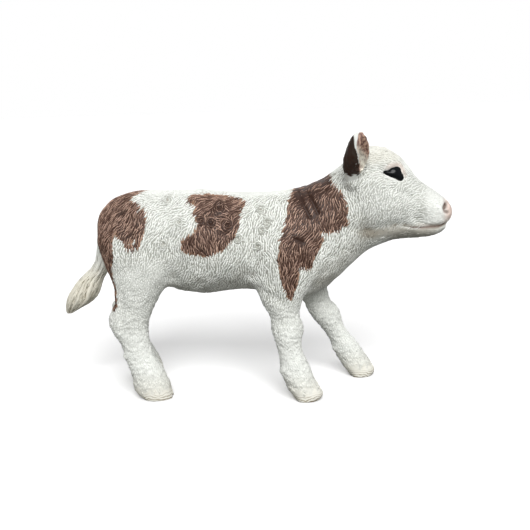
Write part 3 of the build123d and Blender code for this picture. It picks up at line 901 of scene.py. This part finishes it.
def lock_tree():
    """Geometry tree that lays hair locks on a skin along the lie of its hair."""
    tree = bpy.data.node_groups.new("Hair locks", "GeometryNodeTree")
    sockets = {"Skin": "Geometry", "Locks": "Collection", "Spacing": "Float", "Length": "Float",
               "Width": "Float", "Rise": "Float", "Seed": "Int", "Paint": "Material"}
    for name, kind in sockets.items():
        tree.interface.new_socket(name=name, in_out="INPUT", socket_type="NodeSocket" + kind)
    tree.interface.new_socket(name="Coat", in_out="OUTPUT", socket_type="NodeSocketGeometry")
    given = add_node(tree, "NodeGroupInput", {}, {}).node.outputs
    stored = {name: add_node(tree, *FIELD, {"Name": name}) for name in (
        "hair", "hair_length", "hair_rise", "tangle", "lift")}
    arrows = {name: add_node(tree, *ARROW_FIELD, {"Name": name}) for name in ("lie", "skin_normal")}
    chance = {name: add_node(tree, *CHANCE, {2: low, 3: high, "Seed": seed}, 1) for name, low, high, seed in (
        ("turn", -1.0, 1.0, 3), ("stretch", 0.65, 1.35, 5), ("girth", 0.7, 1.25, 7), ("tone", 0.0, 1.0, 8))}
    points = add_node(tree, "GeometryNodeDistributePointsOnFaces", {"distribute_method": "POISSON"}, {
        "Mesh": given["Skin"], "Distance Min": given["Spacing"], "Density Max": 4e7,
        "Density Factor": stored["hair"], "Seed": given["Seed"]})
    toned = add_node(tree, "GeometryNodeStoreNamedAttribute", {"data_type": "FLOAT", "domain": "POINT"}, {
        "Geometry": points, "Name": "tone", "Value": chance["tone"]})
    along = add_node(tree, "FunctionNodeAlignRotationToVector", {"axis": "X", "pivot_axis": "Z"}, {
        "Rotation": points.node.outputs["Rotation"], "Vector": arrows["lie"]})
    turn = add_node(tree, *TIMES, {0: chance["turn"], 1: stored["tangle"]})
    twist = add_node(tree, "ShaderNodeCombineXYZ", {}, {"Z": turn})
    turned = add_node(tree, "FunctionNodeRotateRotation", {"rotation_space": "LOCAL"}, {
        "Rotation": along, "Rotate By": twist})
    length = add_node(tree, *TIMES, {0: given["Length"], 1: stored["hair_length"]})
    length = add_node(tree, *TIMES, {0: length, 1: chance["stretch"]})
    slim = add_node(tree, "ShaderNodeMath", {"operation": "SQRT"}, {0: stored["hair_length"]})
    width = add_node(tree, *TIMES, {0: given["Width"], 1: chance["girth"]})
    width = add_node(tree, *TIMES, {0: width, 1: slim})
    size = add_node(tree, "ShaderNodeCombineXYZ", {}, {"X": length, "Y": width, "Z": width})
    shapes = add_node(tree, "GeometryNodeCollectionInfo", {}, {
        "Collection": given["Locks"], "Separate Children": True, "Reset Children": True})
    locks = add_node(tree, "GeometryNodeInstanceOnPoints", {}, {
        "Points": toned, "Instance": shapes, "Pick Instance": True, "Rotation": turned, "Scale": size})
    real = add_node(tree, "GeometryNodeRealizeInstances", {}, {"Geometry": locks})
    at = add_node(tree, "GeometryNodeInputPosition", {}, {})
    foot = add_node(tree, "GeometryNodeProximity", {"target_element": "FACES"}, {0: given["Skin"]})
    normal = add_node(tree, "GeometryNodeSampleNearestSurface", {"data_type": "FLOAT_VECTOR"}, {
        "Mesh": given["Skin"], "Value": arrows["skin_normal"], "Sample Position": at})
    rise = add_node(tree, *TIMES, {0: stored["lift"], 1: stored["hair_rise"]})
    rise = add_node(tree, *TIMES, {0: rise, 1: given["Rise"]})
    lift = add_node(tree, "ShaderNodeVectorMath", {"operation": "SCALE"}, {0: normal, "Scale": rise})
    place = add_node(tree, "ShaderNodeVectorMath", {"operation": "ADD"}, {0: foot, 1: lift})
    laid = add_node(tree, "GeometryNodeSetPosition", {}, {"Geometry": real, "Position": place})
    smooth = add_node(tree, "GeometryNodeSetShadeSmooth", {}, {"Geometry": laid})
    painted = add_node(tree, "GeometryNodeSetMaterial", {}, {"Geometry": smooth, "Material": given["Paint"]})
    add_node(tree, "NodeGroupOutput", {}, {"Coat": painted})
    return tree


def lock_shapes():
    """Collection of unit hair locks, each a closed spindle with another bend."""
    shapes = bpy.data.collections.new("Hair lock shapes")
    bpy.context.scene.collection.children.link(shapes)
    rows = ((0.28, 0.46, 0.85), (0.70, 0.42, 1.00))      # along, half width, lift
    sunk = -0.5
    bends = (-0.7, -0.35, 0.0, 0.35, 0.7)
    tip_lift, tip_crest = 0.1, 0.8
    for number, bend in enumerate(bends):
        points = [(-0.5, bend, 0)]
        lifts = [sunk]
        crests = [0.0]
        for along, half, lift in rows:
            sway = bend * (2 * along - 1) ** 2
            points += [(along - 0.5, sway - half, 0), (along - 0.5, sway, 0), (along - 0.5, sway + half, 0)]
            lifts += [sunk, lift, sunk]
            crests += [0.0, 1.0, 0.0]
        points.append((0.5, bend, 0))
        lifts.append(tip_lift)
        crests.append(tip_crest)
        tip = len(points) - 1
        faces = []
        for side in range(3):
            after = (side + 1) % 3
            faces.append((0, 1 + after, 1 + side))
            for row in range(len(rows) - 1):
                low, high = 1 + 3 * row, 4 + 3 * row
                faces.append((low + side, low + after, high + after, high + side))
            faces.append((tip, tip - 3 + side, tip - 3 + after))
        mesh = bpy.data.meshes.new(f"lock_{number}")
        mesh.from_pydata(points, [], faces)
        store(mesh, "lift", np.array(lifts))
        # Crest share: the lighter paint of a lock's crest, which also paints its highlight.
        store(mesh, "rise", np.array(crests))
        shapes.objects.link(bpy.data.objects.new(f"lock_{number}", mesh))
    return shapes


def lay_locks(skin, name, tree, shapes, paint, **values):
    """Plain mesh object of the locks that the tree lays on a skin."""
    ids = {item.name: item.identifier for item in tree.interface.items_tree if item.in_out == "INPUT"}
    modifier = skin.modifiers.new("Hair locks", "NODES")
    modifier.node_group = tree
    for key, value in {"Locks": shapes, "Paint": paint, **values}.items():
        modifier[ids[key]] = value
    bpy.context.view_layer.update()
    coat = bpy.data.meshes.new_from_object(skin.evaluated_get(bpy.context.evaluated_depsgraph_get()))
    skin.modifiers.remove(modifier)
    coat.name = name
    for layer in ("lie", "skin_normal", "hair", "hair_length", "hair_rise", "tangle", "lift"):
        if coat.attributes.get(layer):
            coat.attributes.remove(coat.attributes[layer])
    return new_object(name, coat)


def new_material(name, rough, ior, specular):
    """Node material with its tree and shader."""
    material = bpy.data.materials.new(name)
    material.use_nodes = True
    tree = material.node_tree
    shader = tree.nodes["Principled BSDF"]
    shader.inputs["Roughness"].default_value = rough
    shader.inputs["IOR"].default_value = ior
    shader.inputs["Specular IOR Level"].default_value = specular
    return material, tree, shader


def stored_fields(tree, names):
    """Outputs that read fields from the points of a mesh."""
    return {name: add_node(tree, "ShaderNodeAttribute", {"attribute_name": name}, {}, "Fac")
            for name in names}


def painted_pvc():
    """Moulded PVC under matt acrylic paint: soft wide highlights, a wash and painted shade in the hollows and
    under the body, brushed crests that also paint highlights.
    """
    paint = bpy.context.scene.calf_paint
    material, tree, shader = new_material("Painted PVC coat", rough=0.5, ior=1.5, specular=0.4)
    stored = stored_fields(tree, ("brown", "rise", "tone", "wash_and_shade", "pink", "horn", "line", "cream"))
    at = add_node(tree, "ShaderNodeTexCoord", {}, {}, "Object")
    blotch, smear, grit = (
        add_node(tree, "ShaderNodeTexNoise", {}, {
            "Vector": at, "Scale": 1 / (grain * MM), "Detail": 3.0}, "Fac")
        for grain in PAINT_GRAINS)
    speckle, edge = (add_node(tree, *TIMES_PLUS, {0: grit, 1: GRIT_SHARE, 2: stored[name]})
                     for name in ("rise", "brown"))
    height = add_node(tree, "ShaderNodeSeparateXYZ", {}, {0: at}, "Z")
    swayed = add_node(tree, *TIMES_PLUS, {0: blotch, 1: HORN_SWAY * MM, 2: height})
    phase = add_node(tree, *TIMES, {0: swayed, 1: 2 * math.pi / (HORN_PITCH * MM)})
    wave = add_node(tree, "ShaderNodeMath", {"operation": "SINE"}, {0: phase})
    spans = {                       # a value, where the paint begins and where it is full
        "crest": (speckle, 0.38, 0.86), "ridge": (speckle, 0.35, 1.15), "body": (speckle, 0.35, 1.0),
        "brushed": (speckle, 0.75, 1.15), "hollow": (stored["wash_and_shade"], 0.05, 1.4),
        "chosen": (stored["tone"], 0.20, 0.85),
        "thin": (edge, 0.60, 0.25), "covered": (edge, 0.15, 0.25), "spared": (smear, 0.40, 0.58),
        "growth": (wave, 0.2, 0.9), "low": (height, 2.2 * MM, 0.2 * MM),
    }
    soft = {name: add_node(tree, *SOFT_STEP, {"Value": value, "From Min": start, "From Max": full})
            for name, (value, start, full) in spans.items()}
    growth, brushed, thin = (add_node(tree, *TIMES, {0: soft[first], 1: soft[second]}) for first, second in (
        ("growth", "low"), ("brushed", "chosen"), ("thin", "spared")))

    # Each colour is darker in the grooves and lighter on the crests: a wash and dry-brushing that also paint
    # the shade and highlights of the hair.
    coats = (                       # a share, the colour where it is 0 and where it is 1
        (soft["crest"], paint.groove, paint.white), (soft["ridge"], paint.cream_shade, paint.cream),
        (smear, paint.pink_shade, paint.pink), (growth, paint.horn, paint.horn_shade),
        (soft["body"], paint.brown_shade, paint.brown))
    white, ivory, rosy, horn, brown = (
        add_node(tree, *MIX, {0: share, 6: under, 7: over}, 2) for share, under, over in coats)
    # Wash and painted shade over the white, and below over the brown.
    white = add_node(tree, *MIX, {0: soft["hollow"], 6: white, 7: paint.shade}, 2)
    for name, over in (("cream", ivory), ("pink", rosy), ("horn", horn)):
        white = add_node(tree, *MIX, {0: stored[name], 6: white, 7: over}, 2)
    # Brushed crests that also paint highlights, then the wash and painted shade, then the thin tan edge.
    for share, over in ((brushed, paint.brown_light), (soft["hollow"], paint.brown_shade), (thin, paint.tan)):
        brown = add_node(tree, *MIX, {0: share, 6: brown, 7: over}, 2)
    colour = add_node(tree, *MIX, {0: soft["covered"], 6: white, 7: brown}, 2)
    colour = add_node(tree, *MIX, {0: stored["line"], 6: colour, 7: paint.line}, 2)
    tree.links.new(colour, shader.inputs["Base Color"])
    rough = add_node(tree, "ShaderNodeMapRange", {}, {"Value": blotch, "To Min": 0.42, "To Max": 0.58})
    tree.links.new(rough, shader.inputs["Roughness"])
    bump = add_node(tree, "ShaderNodeBump", {}, {"Strength": 0.4, "Distance": 0.06 * MM, "Height": grit})
    tree.links.new(bump, shader.inputs["Normal"])
    return material


def painted_ear():
    """Moulded PVC ear under matt paint: dark brown back, white rim and rosy brown cup, brushed lengthwise."""
    paint = bpy.context.scene.calf_paint
    material, tree, shader = new_material("Painted PVC ear", rough=0.55, ior=1.5, specular=0.35)
    stored = stored_fields(tree, ("cup", "rim", "tuft", "foot"))
    at = add_node(tree, "ShaderNodeTexCoord", {}, {}, "Object")
    drawn = add_node(tree, "ShaderNodeVectorMath", {"operation": "DIVIDE"}, {
        0: at, 1: Vector(EAR_STROKE) * MM})
    stroke = add_node(tree, "ShaderNodeTexNoise", {}, {"Vector": drawn, "Scale": 1.0, "Detail": 2.0}, "Fac")
    light = add_node(tree, *SOFT_STEP, {"Value": stroke, "From Min": 0.40, "From Max": 0.62})
    back = add_node(tree, *MIX, {0: light, 6: paint.ear_back, 7: paint.brown_shade}, 2)
    cup = add_node(tree, *MIX, {0: light, 6: paint.ear_cup_shade, 7: paint.ear_cup}, 2)
    streak = add_node(tree, *SOFT_STEP, {"Value": stroke, "From Min": 0.38, "From Max": 0.52})
    streak = add_node(tree, *TIMES_PLUS, {0: streak, 1: 0.5, 2: 0.5})
    streak = add_node(tree, *TIMES, {0: streak, 1: stored["tuft"]})
    cup = add_node(tree, *MIX, {0: streak, 6: cup, 7: paint.cream}, 2)
    colour = back
    for share, over in ((stored["cup"], cup), (stored["rim"], paint.white), (stored["foot"], paint.white)):
        colour = add_node(tree, *MIX, {0: share, 6: colour, 7: over}, 2)
    tree.links.new(colour, shader.inputs["Base Color"])
    bump = add_node(tree, "ShaderNodeBump", {}, {"Strength": 0.6, "Distance": 0.12 * MM, "Height": stroke})
    tree.links.new(bump, shader.inputs["Normal"])
    return material


def gloss_black():
    """Black enamel drop over the moulded eyeball: nearly black, with a small dim highlight."""
    paint = bpy.context.scene.calf_paint
    material, tree, shader = new_material("Gloss enamel eye", rough=0.15, ior=1.5, specular=0.2)
    at = add_node(tree, "ShaderNodeTexCoord", {}, {}, "Object")
    cloud = add_node(tree, "ShaderNodeTexNoise", {}, {"Vector": at, "Scale": 1 / (EYE_CLOUD * MM)}, "Fac")
    colour = add_node(tree, *MIX, {0: cloud, 6: paint.eye, 7: paint.eye_glow}, 2)
    tree.links.new(colour, shader.inputs["Base Color"])
    return material


def pale_floor():
    """Seamless paper on a light table: matt, almost white and lit through, dim in what it throws back up."""
    paint = bpy.context.scene.calf_paint
    material, tree, shader = new_material("Studio paper", rough=0.9, ior=1.4, specular=0.1)
    at = add_node(tree, "ShaderNodeTexCoord", {}, {}, "Object")
    fibre = add_node(tree, "ShaderNodeTexNoise", {}, {
        "Vector": at, "Scale": 1 / (PAPER_GRAIN * MM), "Detail": 4.0}, "Fac")
    seen = add_node(tree, "ShaderNodeLightPath", {}, {}, "Is Camera Ray")
    pale = add_node(tree, *MIX, {0: fibre, 6: paint.paper_shade, 7: paint.paper}, 2)
    colour = add_node(tree, *MIX, {0: seen, 6: paint.paper_bounce, 7: pale}, 2)
    tree.links.new(colour, shader.inputs["Base Color"])
    glow = add_node(tree, *TIMES, {0: seen, 1: PAPER_GLOW})
    shader.inputs["Emission Color"].default_value = paint.paper
    tree.links.new(glow, shader.inputs["Emission Strength"])
    return material


def colour_property(name, text):
    """Colour that a user can change, with its default in sRGB hex."""
    return bpy.props.FloatVectorProperty(name=name, description=f"Paint of the {name.lower()}", size=4,
                                         subtype="COLOR", min=0, max=1, default=linear(text))


def length_property(name, description, millimetres):
    """Length that a user can change."""
    return bpy.props.FloatProperty(name=name, description=description, default=millimetres * MM,
                                   unit="LENGTH", precision=5)


class CALF_PG_sizes(bpy.types.PropertyGroup):
    """Sizes of the skin and its hair."""
    skin_quad: length_property("Skin quad", "Edge of the skin's quads", 0.225)
    blend_rounds: bpy.props.IntProperty(
        name="Blend rounds", description="Smoothing where the limbs meet the trunk", default=120)
    lock_spacing: length_property("Lock spacing", "Least distance between hair locks", 0.43)
    lock_length: length_property("Lock length", "Length of a hair lock on the barrel", 1.35)
    lock_width: length_property("Lock width", "Width of a hair lock", 0.42)
    lock_rise: length_property("Lock rise", "Height of a hair lock above the skin", 0.13)
    strand_spacing: length_property("Strand spacing", "Least distance between strands of the tail", 0.55)
    strand_length: length_property("Strand length", "Length of a strand of the tail", 4.2)
    strand_width: length_property("Strand width", "Width of a strand of the tail", 0.5)


class CALF_PG_paint(bpy.types.PropertyGroup):
    """Colours of the paints."""
    white: colour_property("White coat", "#f3f5f0")
    # Colours of grooves and crests: a wash and dry-brushing that also paint the shade and highlights of the
    # hair's relief.
    groove: colour_property("Grooves of the white coat", "#a3a49b")
    # Colour of the wash in the hollows and of the painted shade under the body and the head.
    shade: colour_property("Wash and painted shade in the folds", "#938d80")
    brown: colour_property("Brown patches", "#664c40")
    brown_light: colour_property("Brushed crests of the brown patches", "#cfad99")
    brown_shade: colour_property("Grooves of the brown patches", "#351f14")
    tan: colour_property("Thin edge of the patches", "#a17f66")
    cream: colour_property("Cream hair", "#ebe7d8")
    cream_shade: colour_property("Grooves of the cream hair", "#9c947f")
    pink: colour_property("Nose and lids", "#ead5c9")
    pink_shade: colour_property("Shaded nose", "#d6baac")
    horn: colour_property("Hooves", "#eeece1")
    horn_shade: colour_property("Growth lines of the hooves", "#94886f")
    # Dark line of the mouth and the nostrils, also their painted shade.
    line: colour_property("Mouth line and nostrils", "#7a685f")
    ear_back: colour_property("Back of the ears", "#33271f")
    ear_cup: colour_property("Inside of the ears", "#c9a893")
    ear_cup_shade: colour_property("Hollow of the ears", "#74564e")
    eye: colour_property("Eyes", "#0b0c0e")
    eye_glow: colour_property("Tint of the eyes", "#15171a")
    paper: colour_property("Studio paper", "#ffffff")
    paper_shade: colour_property("Studio paper fibres", "#fdfdfd")
    paper_bounce: colour_property("Light thrown up by the paper", "#7a7a77")


class CALF_OT_skin(bpy.types.Operator):
    """Sculpts one skin over torso, head and legs, paints it and parts it at the seams"""
    bl_idname = "calf.skin"
    bl_label = "Skin"

    def execute(self, context):
        points, quads, edges, normals, moulded = sculpted_skin()
        body = mesh_from("whole_skin", points, quads, skin_fields(points, edges, normals, moulded))
        body.materials.append(painted_pvc())
        new_object("whole_skin", body).hide_render = True
        for name, mesh in cut_skin(body):
            show(new_object(name + "_skin", mesh), "leg" if "leg" in name else "coat", name)
        return {"FINISHED"}


class CALF_OT_ears(bpy.types.Operator):
    """Shapes and paints both ears"""
    bl_idname = "calf.ears"
    bl_label = "Ears"
    quad = 0.12
    rounds = 6
    slices = (20, 0.5)              # number and half height
    ruffle = 0.05
    ruffle_stretch = 0.3            # along Z, so that the ruffles run lengthwise
    rim_wobble = 0.06
    rim_edge = (1.3, 0.8)           # where the rim's paint begins and is full, in half widths
    tuft_lean = 1.6
    foot_wobble = 0.2
    foot_arch = 0.12
    foot_middle = 20.4              # X

    def execute(self, context):
        paint = painted_ear()
        heights, middles, half_widths = np.transpose(EAR_RIM)
        for name, side in SIDES.items():
            points, quads = even_quads(node_copy(name + "_ear"), self.quad * MM)
            points = relax(points, quad_edges(quads), np.full(len(points), CAD_GIVES), self.rounds)
            normals = outward(points, quads)
            ruffle = self.ruffle * drift(points * (1, 1, self.ruffle_stretch), "ruffle")
            points += normals * ruffle[:, None]
            x, _, z = points.T
            ahead = x - np.interp(z, heights, middles)
            half_width = np.interp(z, heights, half_widths) + self.rim_wobble * drift(points, "ear_rim")
            rim = ease(np.abs(ahead), *(edge * half_width for edge in self.rim_edge)) * fade(z, "ear_rim")
            outer = np.maximum(fade(normals[:, 1] * side, "ear_outside"), fade(z, "ear_top"))
            levels, core = core_line(points, *self.slices)
            away = points[:, :2] - np.stack([np.interp(z, levels, core[:, i]) for i in range(2)], 1)
            inward = -np.sum(normals[:, :2] * away, axis=1) / np.linalg.norm(away, axis=1)
            foot = z + self.foot_wobble * drift(points, "ear_foot")
            foot -= self.foot_arch * (x - self.foot_middle) ** 2
            fields = {
                "cup": np.maximum(fade(ahead, "ear_cup"), fade(inward, "ear_hollow")),
                "rim": rim * outer,
                "tuft": fade(z + self.tuft_lean * ahead, "ear_tuft") * fade(ahead, "ear_tuft_edge"),
                "foot": fade(foot, "ear_foot"),
            }
            ear = mesh_from(name + "_ear_skin", points, quads, fields)
            ear.materials.append(paint)
            show(new_object(name + "_ear_skin", ear), "ear", name + "_ear")
        return {"FINISHED"}


class CALF_OT_eyes(bpy.types.Operator):
    """Sets a glossy drop in the almond of each eye"""
    bl_idname = "calf.eyes"
    bl_label = "Eyes"
    bulge = 0.7
    dent = 0.2                      # of the back of the drop
    outside = 20.0                  # Y from which the skin round an eye is looked for
    sink = 0.10
    thickness = 0.7
    rings = 9

    def execute(self, context):
        whole = bpy.data.objects["whole_skin"].data
        corners = [vert.co for vert in whole.vertices]
        tree = BVHTree.FromPolygons(corners, [face.vertices for face in whole.polygons])
        paint = gloss_black()
        rim = eye_rim()
        middle = rim.mean(0)
        for name, side in SIDES.items():
            hits = [tree.ray_cast(Vector((x, side * self.outside, z)) * MM, Vector((0, -side, 0)))[0]
                    for x, z in rim]
            depth = np.array([hit.y for hit in hits]) / MM
            plane = np.linalg.lstsq(np.c_[rim, np.ones(len(rim))], depth, rcond=None)[0]
            loops = []
            for lift, back in ((self.bulge, 0.0), (-self.dent, self.thickness)):
                for ring in range(1, self.rings + 1):
                    share = ring / self.rings
                    spots = middle + (rim - middle) * share
                    y = np.c_[spots, np.ones(len(spots))] @ plane
                    y += side * (lift * (1 - share ** 2) - self.sink - back)
                    loops.append(np.stack([spots[:, 0], y, spots[:, 1]], 1))
            loops = loops[:self.rings] + loops[self.rings:][::-1]
            made = bmesh.new()
            verts = [[made.verts.new(spot * MM) for spot in loop] for loop in loops]
            for inner, outer in zip(verts[:-1], verts[1:]):
                for i in range(len(rim)):
                    made.faces.new((inner[i], inner[i - 1], outer[i - 1], outer[i]))
            made.faces.new(verts[0])
            made.faces.new(verts[-1])
            bmesh.ops.triangulate(made, faces=[face for face in made.faces if len(face.verts) > 4])
            bmesh.ops.recalc_face_normals(made, faces=made.faces)
            mesh = bpy.data.meshes.new(name + "_eye_drop")
            made.to_mesh(mesh)
            made.free()
            mesh.shade_smooth()
            mesh.materials.append(paint)
            show(new_object(name + "_eye_drop", mesh), "eye", name + "_eye")
        return {"FINISHED"}


class CALF_OT_tail(bpy.types.Operator):
    """Shapes the tail with the strands of its tuft"""
    bl_idname = "calf.tail"
    bl_label = "Tail"
    quad = 0.15
    rounds = 12
    slices = (25, 0.6)              # number and half height
    tip = (4.0, 0.5)                # above the lowest point, where the tip begins and is full
    strands = ((1.0, 7, 1.4, "strands"), (0.6, 13, 1.6, "fine_strands"))   # share, number round it, sway
    strand_height = 0.13
    strand_bare = 0.15              # share of the strands' height above the tuft
    tip_smooth = 0.7
    tip_slim = 0.25
    patch_end = 32.5                # Z
    patch_wobble = 0.8
    looks = {                       # strength of each area in the hair and the paint
        "hair_length": {"all": 0.5, "tuft": 0.5, "tip": -0.3},
        "hair_rise": {"all": 0.7, "tip": -0.4},
        "tangle": {"all": 0.10},
        # Lighter paint on the strands and a wash in the grooves between them, which also paint their
        # highlights and shade; a darker tip.
        "rise": {"all": 0.55, "strands": 0.3},
        "tone": {"all": 0.0},
        "wash_and_shade": {"grooves": 0.7, "tip": 0.5},
        "cream": {"all": 0.1, "tuft": 0.9},
    }

    def execute(self, context):
        points, quads = even_quads(node_copy("tail"), self.quad * MM)
        points = relax(points, quad_edges(quads), np.full(len(points), CAD_GIVES), self.rounds)
        normals = outward(points, quads)
        height = points[:, 2]
        levels, core = core_line(points, *self.slices)
        core = core[:, 0]
        round_it = np.arctan2(points[:, 1], points[:, 0] - np.interp(height, levels, core))
        tuft = fade(height, "tail_tuft")
        tip = ease(height, *(levels[0] + edge for edge in self.tip))
        strands = sum(share * np.sin(count * round_it + sway * drift(points, name))
                      for share, count, sway, name in self.strands)
        slope = np.interp(height, levels, np.gradient(core, levels))
        lie = -np.stack([slope, np.zeros(len(points)), np.ones(len(points))], 1)
        lie /= np.linalg.norm(lie, axis=1, keepdims=True)
        across = normals - lie * np.sum(normals * lie, axis=1, keepdims=True)
        fullness = (self.strand_bare + (1 - self.strand_bare) * tuft) * (1 - self.tip_smooth * tip)
        points += normals * (self.strand_height * strands * fullness)[:, None]
        points -= across * self.tip_slim * tip[:, None]
        normals = outward(points, quads)
        at = {"all": np.ones(len(points)), "tuft": tuft, "tip": tip, "strands": strands}
        at["grooves"] = fade(-strands, "tail_groove") * tuft
        patch = height - self.patch_end + self.patch_wobble * drift(points, "tail_patch")
        fields = {
            "lie": along_skin(lie, normals),
            "skin_normal": normals,
            "brown": np.clip(patch, -NO_PATCH, NO_PATCH),
            "hair": fade(tip, "tail_hair"),
            **{name: added(at, strengths) for name, strengths in self.looks.items()},
        }
        tail = mesh_from("tail_skin", points, quads, fields)
        tail.materials.append(bpy.data.materials["Painted PVC coat"])
        show(new_object("tail_skin", tail), "coat", "tail")
        return {"FINISHED"}


class CALF_OT_coat(bpy.types.Operator):
    """Lays raised hair locks over the skin of each piece"""
    bl_idname = "calf.coat"
    bl_label = "Coat"
    tail_seed = 9

    def execute(self, context):
        size = context.scene.calf_sizes
        tree, shapes = lock_tree(), lock_shapes()
        paint = bpy.data.materials["Painted PVC coat"]
        whole = bpy.data.objects["whole_skin"]
        points = np.empty(len(whole.data.vertices) * 3)
        whole.data.vertices.foreach_get("co", points)
        numbers = piece_numbers(points.reshape(-1, 3) / MM)
        grown = np.empty(len(numbers))
        whole.data.attributes["hair"].data.foreach_get("value", grown)
        for number, name in enumerate(PIECES):
            store(whole.data, "hair", np.where(numbers == number, grown, 0))
            coat = lay_locks(whole, name + "_coat", tree, shapes, paint, Seed=number, Rise=size.lock_rise,
                             Spacing=size.lock_spacing, Length=size.lock_length, Width=size.lock_width)
            show(coat, "leg" if "leg" in name else "coat")
        skin = bpy.data.objects["tail_skin"]
        tail = lay_locks(skin, "tail_coat", tree, shapes, paint, Seed=self.tail_seed, Rise=size.lock_rise,
                         Spacing=size.strand_spacing, Length=size.strand_length, Width=size.strand_width)
        show(tail, "coat")
        bpy.data.objects.remove(whole)
        for shape in list(shapes.objects):
            bpy.data.objects.remove(shape)
        bpy.data.collections.remove(shapes)
        return {"FINISHED"}


class CALF_OT_stage(bpy.types.Operator):
    """Lays the studio paper and sets the lights and the camera"""
    bl_idname = "calf.stage"
    bl_label = "Stage"
    camera_place = Vector((19.883, -158.0, 59.177)) * MM
    camera_aim = Vector((2.883, 0.0, 25.678)) * MM
    camera_roll = -0.0364
    focal_share = 802.61 / 530      # focal length over picture width
    lights = (                      # where from, strength and apparent size
        ("window", Vector((0.25, -1.0, 0.88)), 2.85, math.radians(38)),
        ("fill", Vector((0.1, -1.0, 0.2)), 0.30, math.radians(60)),
        ("reflector", Vector((-0.3, 1.0, 0.7)), 1.0, math.radians(70)),
    )
    reach = 3.0                     # of the paper, in metres
    sensor = 36
    clip = (0.01, 10)
    sky_strength = 0.30             # all round, as the figurine sees it

    def execute(self, context):
        scene = context.scene
        paper = bpy.data.meshes.new("paper")
        reach = self.reach
        corners = [(-reach, -reach, 0), (reach, -reach, 0), (reach, reach, 0), (-reach, reach, 0)]
        paper.from_pydata(corners, [], [(0, 1, 2, 3)])
        paper.materials.append(pale_floor())
        new_object("paper", paper)

        for name, from_where, strength, angle in self.lights:
            light = bpy.data.lights.new(name, "SUN")
            light.energy = strength
            light.angle = angle
            lamp = new_object(name, light)
            lamp.rotation_euler = (-from_where).to_track_quat("-Z", "Y").to_euler()

        world = bpy.data.worlds.new("Studio")
        scene.world = world
        world.use_nodes = True
        sky = world.node_tree.nodes["Background"]
        sky.inputs["Color"].default_value = (1, 1, 1, 1)
        seen = add_node(world.node_tree, "ShaderNodeLightPath", {}, {}, "Is Camera Ray")
        strength = add_node(world.node_tree, "ShaderNodeMapRange", {}, {
            "Value": seen, "To Min": self.sky_strength, "To Max": 1.0})
        world.node_tree.links.new(strength, sky.inputs["Strength"])
        scene.view_settings.view_transform = "Standard"

        lens = bpy.data.cameras.new("camera")
        lens.sensor_width = self.sensor
        lens.lens = lens.sensor_width * self.focal_share
        lens.clip_start, lens.clip_end = self.clip
        ahead = (self.camera_aim - self.camera_place).normalized()
        level = ahead.cross(Vector((0, 0, 1))).normalized()
        upright = level.cross(ahead)
        cosine, sine = math.cos(self.camera_roll), math.sin(self.camera_roll)
        columns = (cosine * level + sine * upright, cosine * upright - sine * level, -ahead)
        camera = new_object("camera", lens)
        camera.matrix_world = Matrix.Translation(self.camera_place) @ Matrix(columns).transposed().to_4x4()
        scene.camera = camera
        return {"FINISHED"}


OPERATORS = (CALF_OT_skin, CALF_OT_ears, CALF_OT_eyes, CALF_OT_tail, CALF_OT_coat, CALF_OT_stage)


class CALF_PT_panel(bpy.types.Panel):
    """Sizes, colours and steps of the calf figurine"""
    bl_label = "Calf figurine"
    bl_idname = "CALF_PT_panel"
    bl_space_type = "VIEW_3D"
    bl_region_type = "UI"
    bl_category = "Calf"

    def draw(self, context):
        for group in (context.scene.calf_sizes, context.scene.calf_paint):
            for name in group.__annotations__:
                self.layout.prop(group, name)
        for operator in OPERATORS:
            self.layout.operator(operator.bl_idname)


CLASSES = (CALF_PG_sizes, CALF_PG_paint, *OPERATORS, CALF_PT_panel)


def register():
    for made in CLASSES:
        bpy.utils.register_class(made)
    bpy.types.Scene.calf_sizes = bpy.props.PointerProperty(type=CALF_PG_sizes)
    bpy.types.Scene.calf_paint = bpy.props.PointerProperty(type=CALF_PG_paint)


def unregister():
    del bpy.types.Scene.calf_sizes
    del bpy.types.Scene.calf_paint
    for made in reversed(CLASSES):
        bpy.utils.unregister_class(made)


def main():
    """Builds the figurine's looks step by step."""
    register()
    bpy.ops.calf.skin()
    bpy.ops.calf.ears()
    bpy.ops.calf.eyes()
    bpy.ops.calf.tail()
    bpy.ops.calf.coat()
    bpy.ops.calf.stage()


if __name__ == "__main__":
    main()
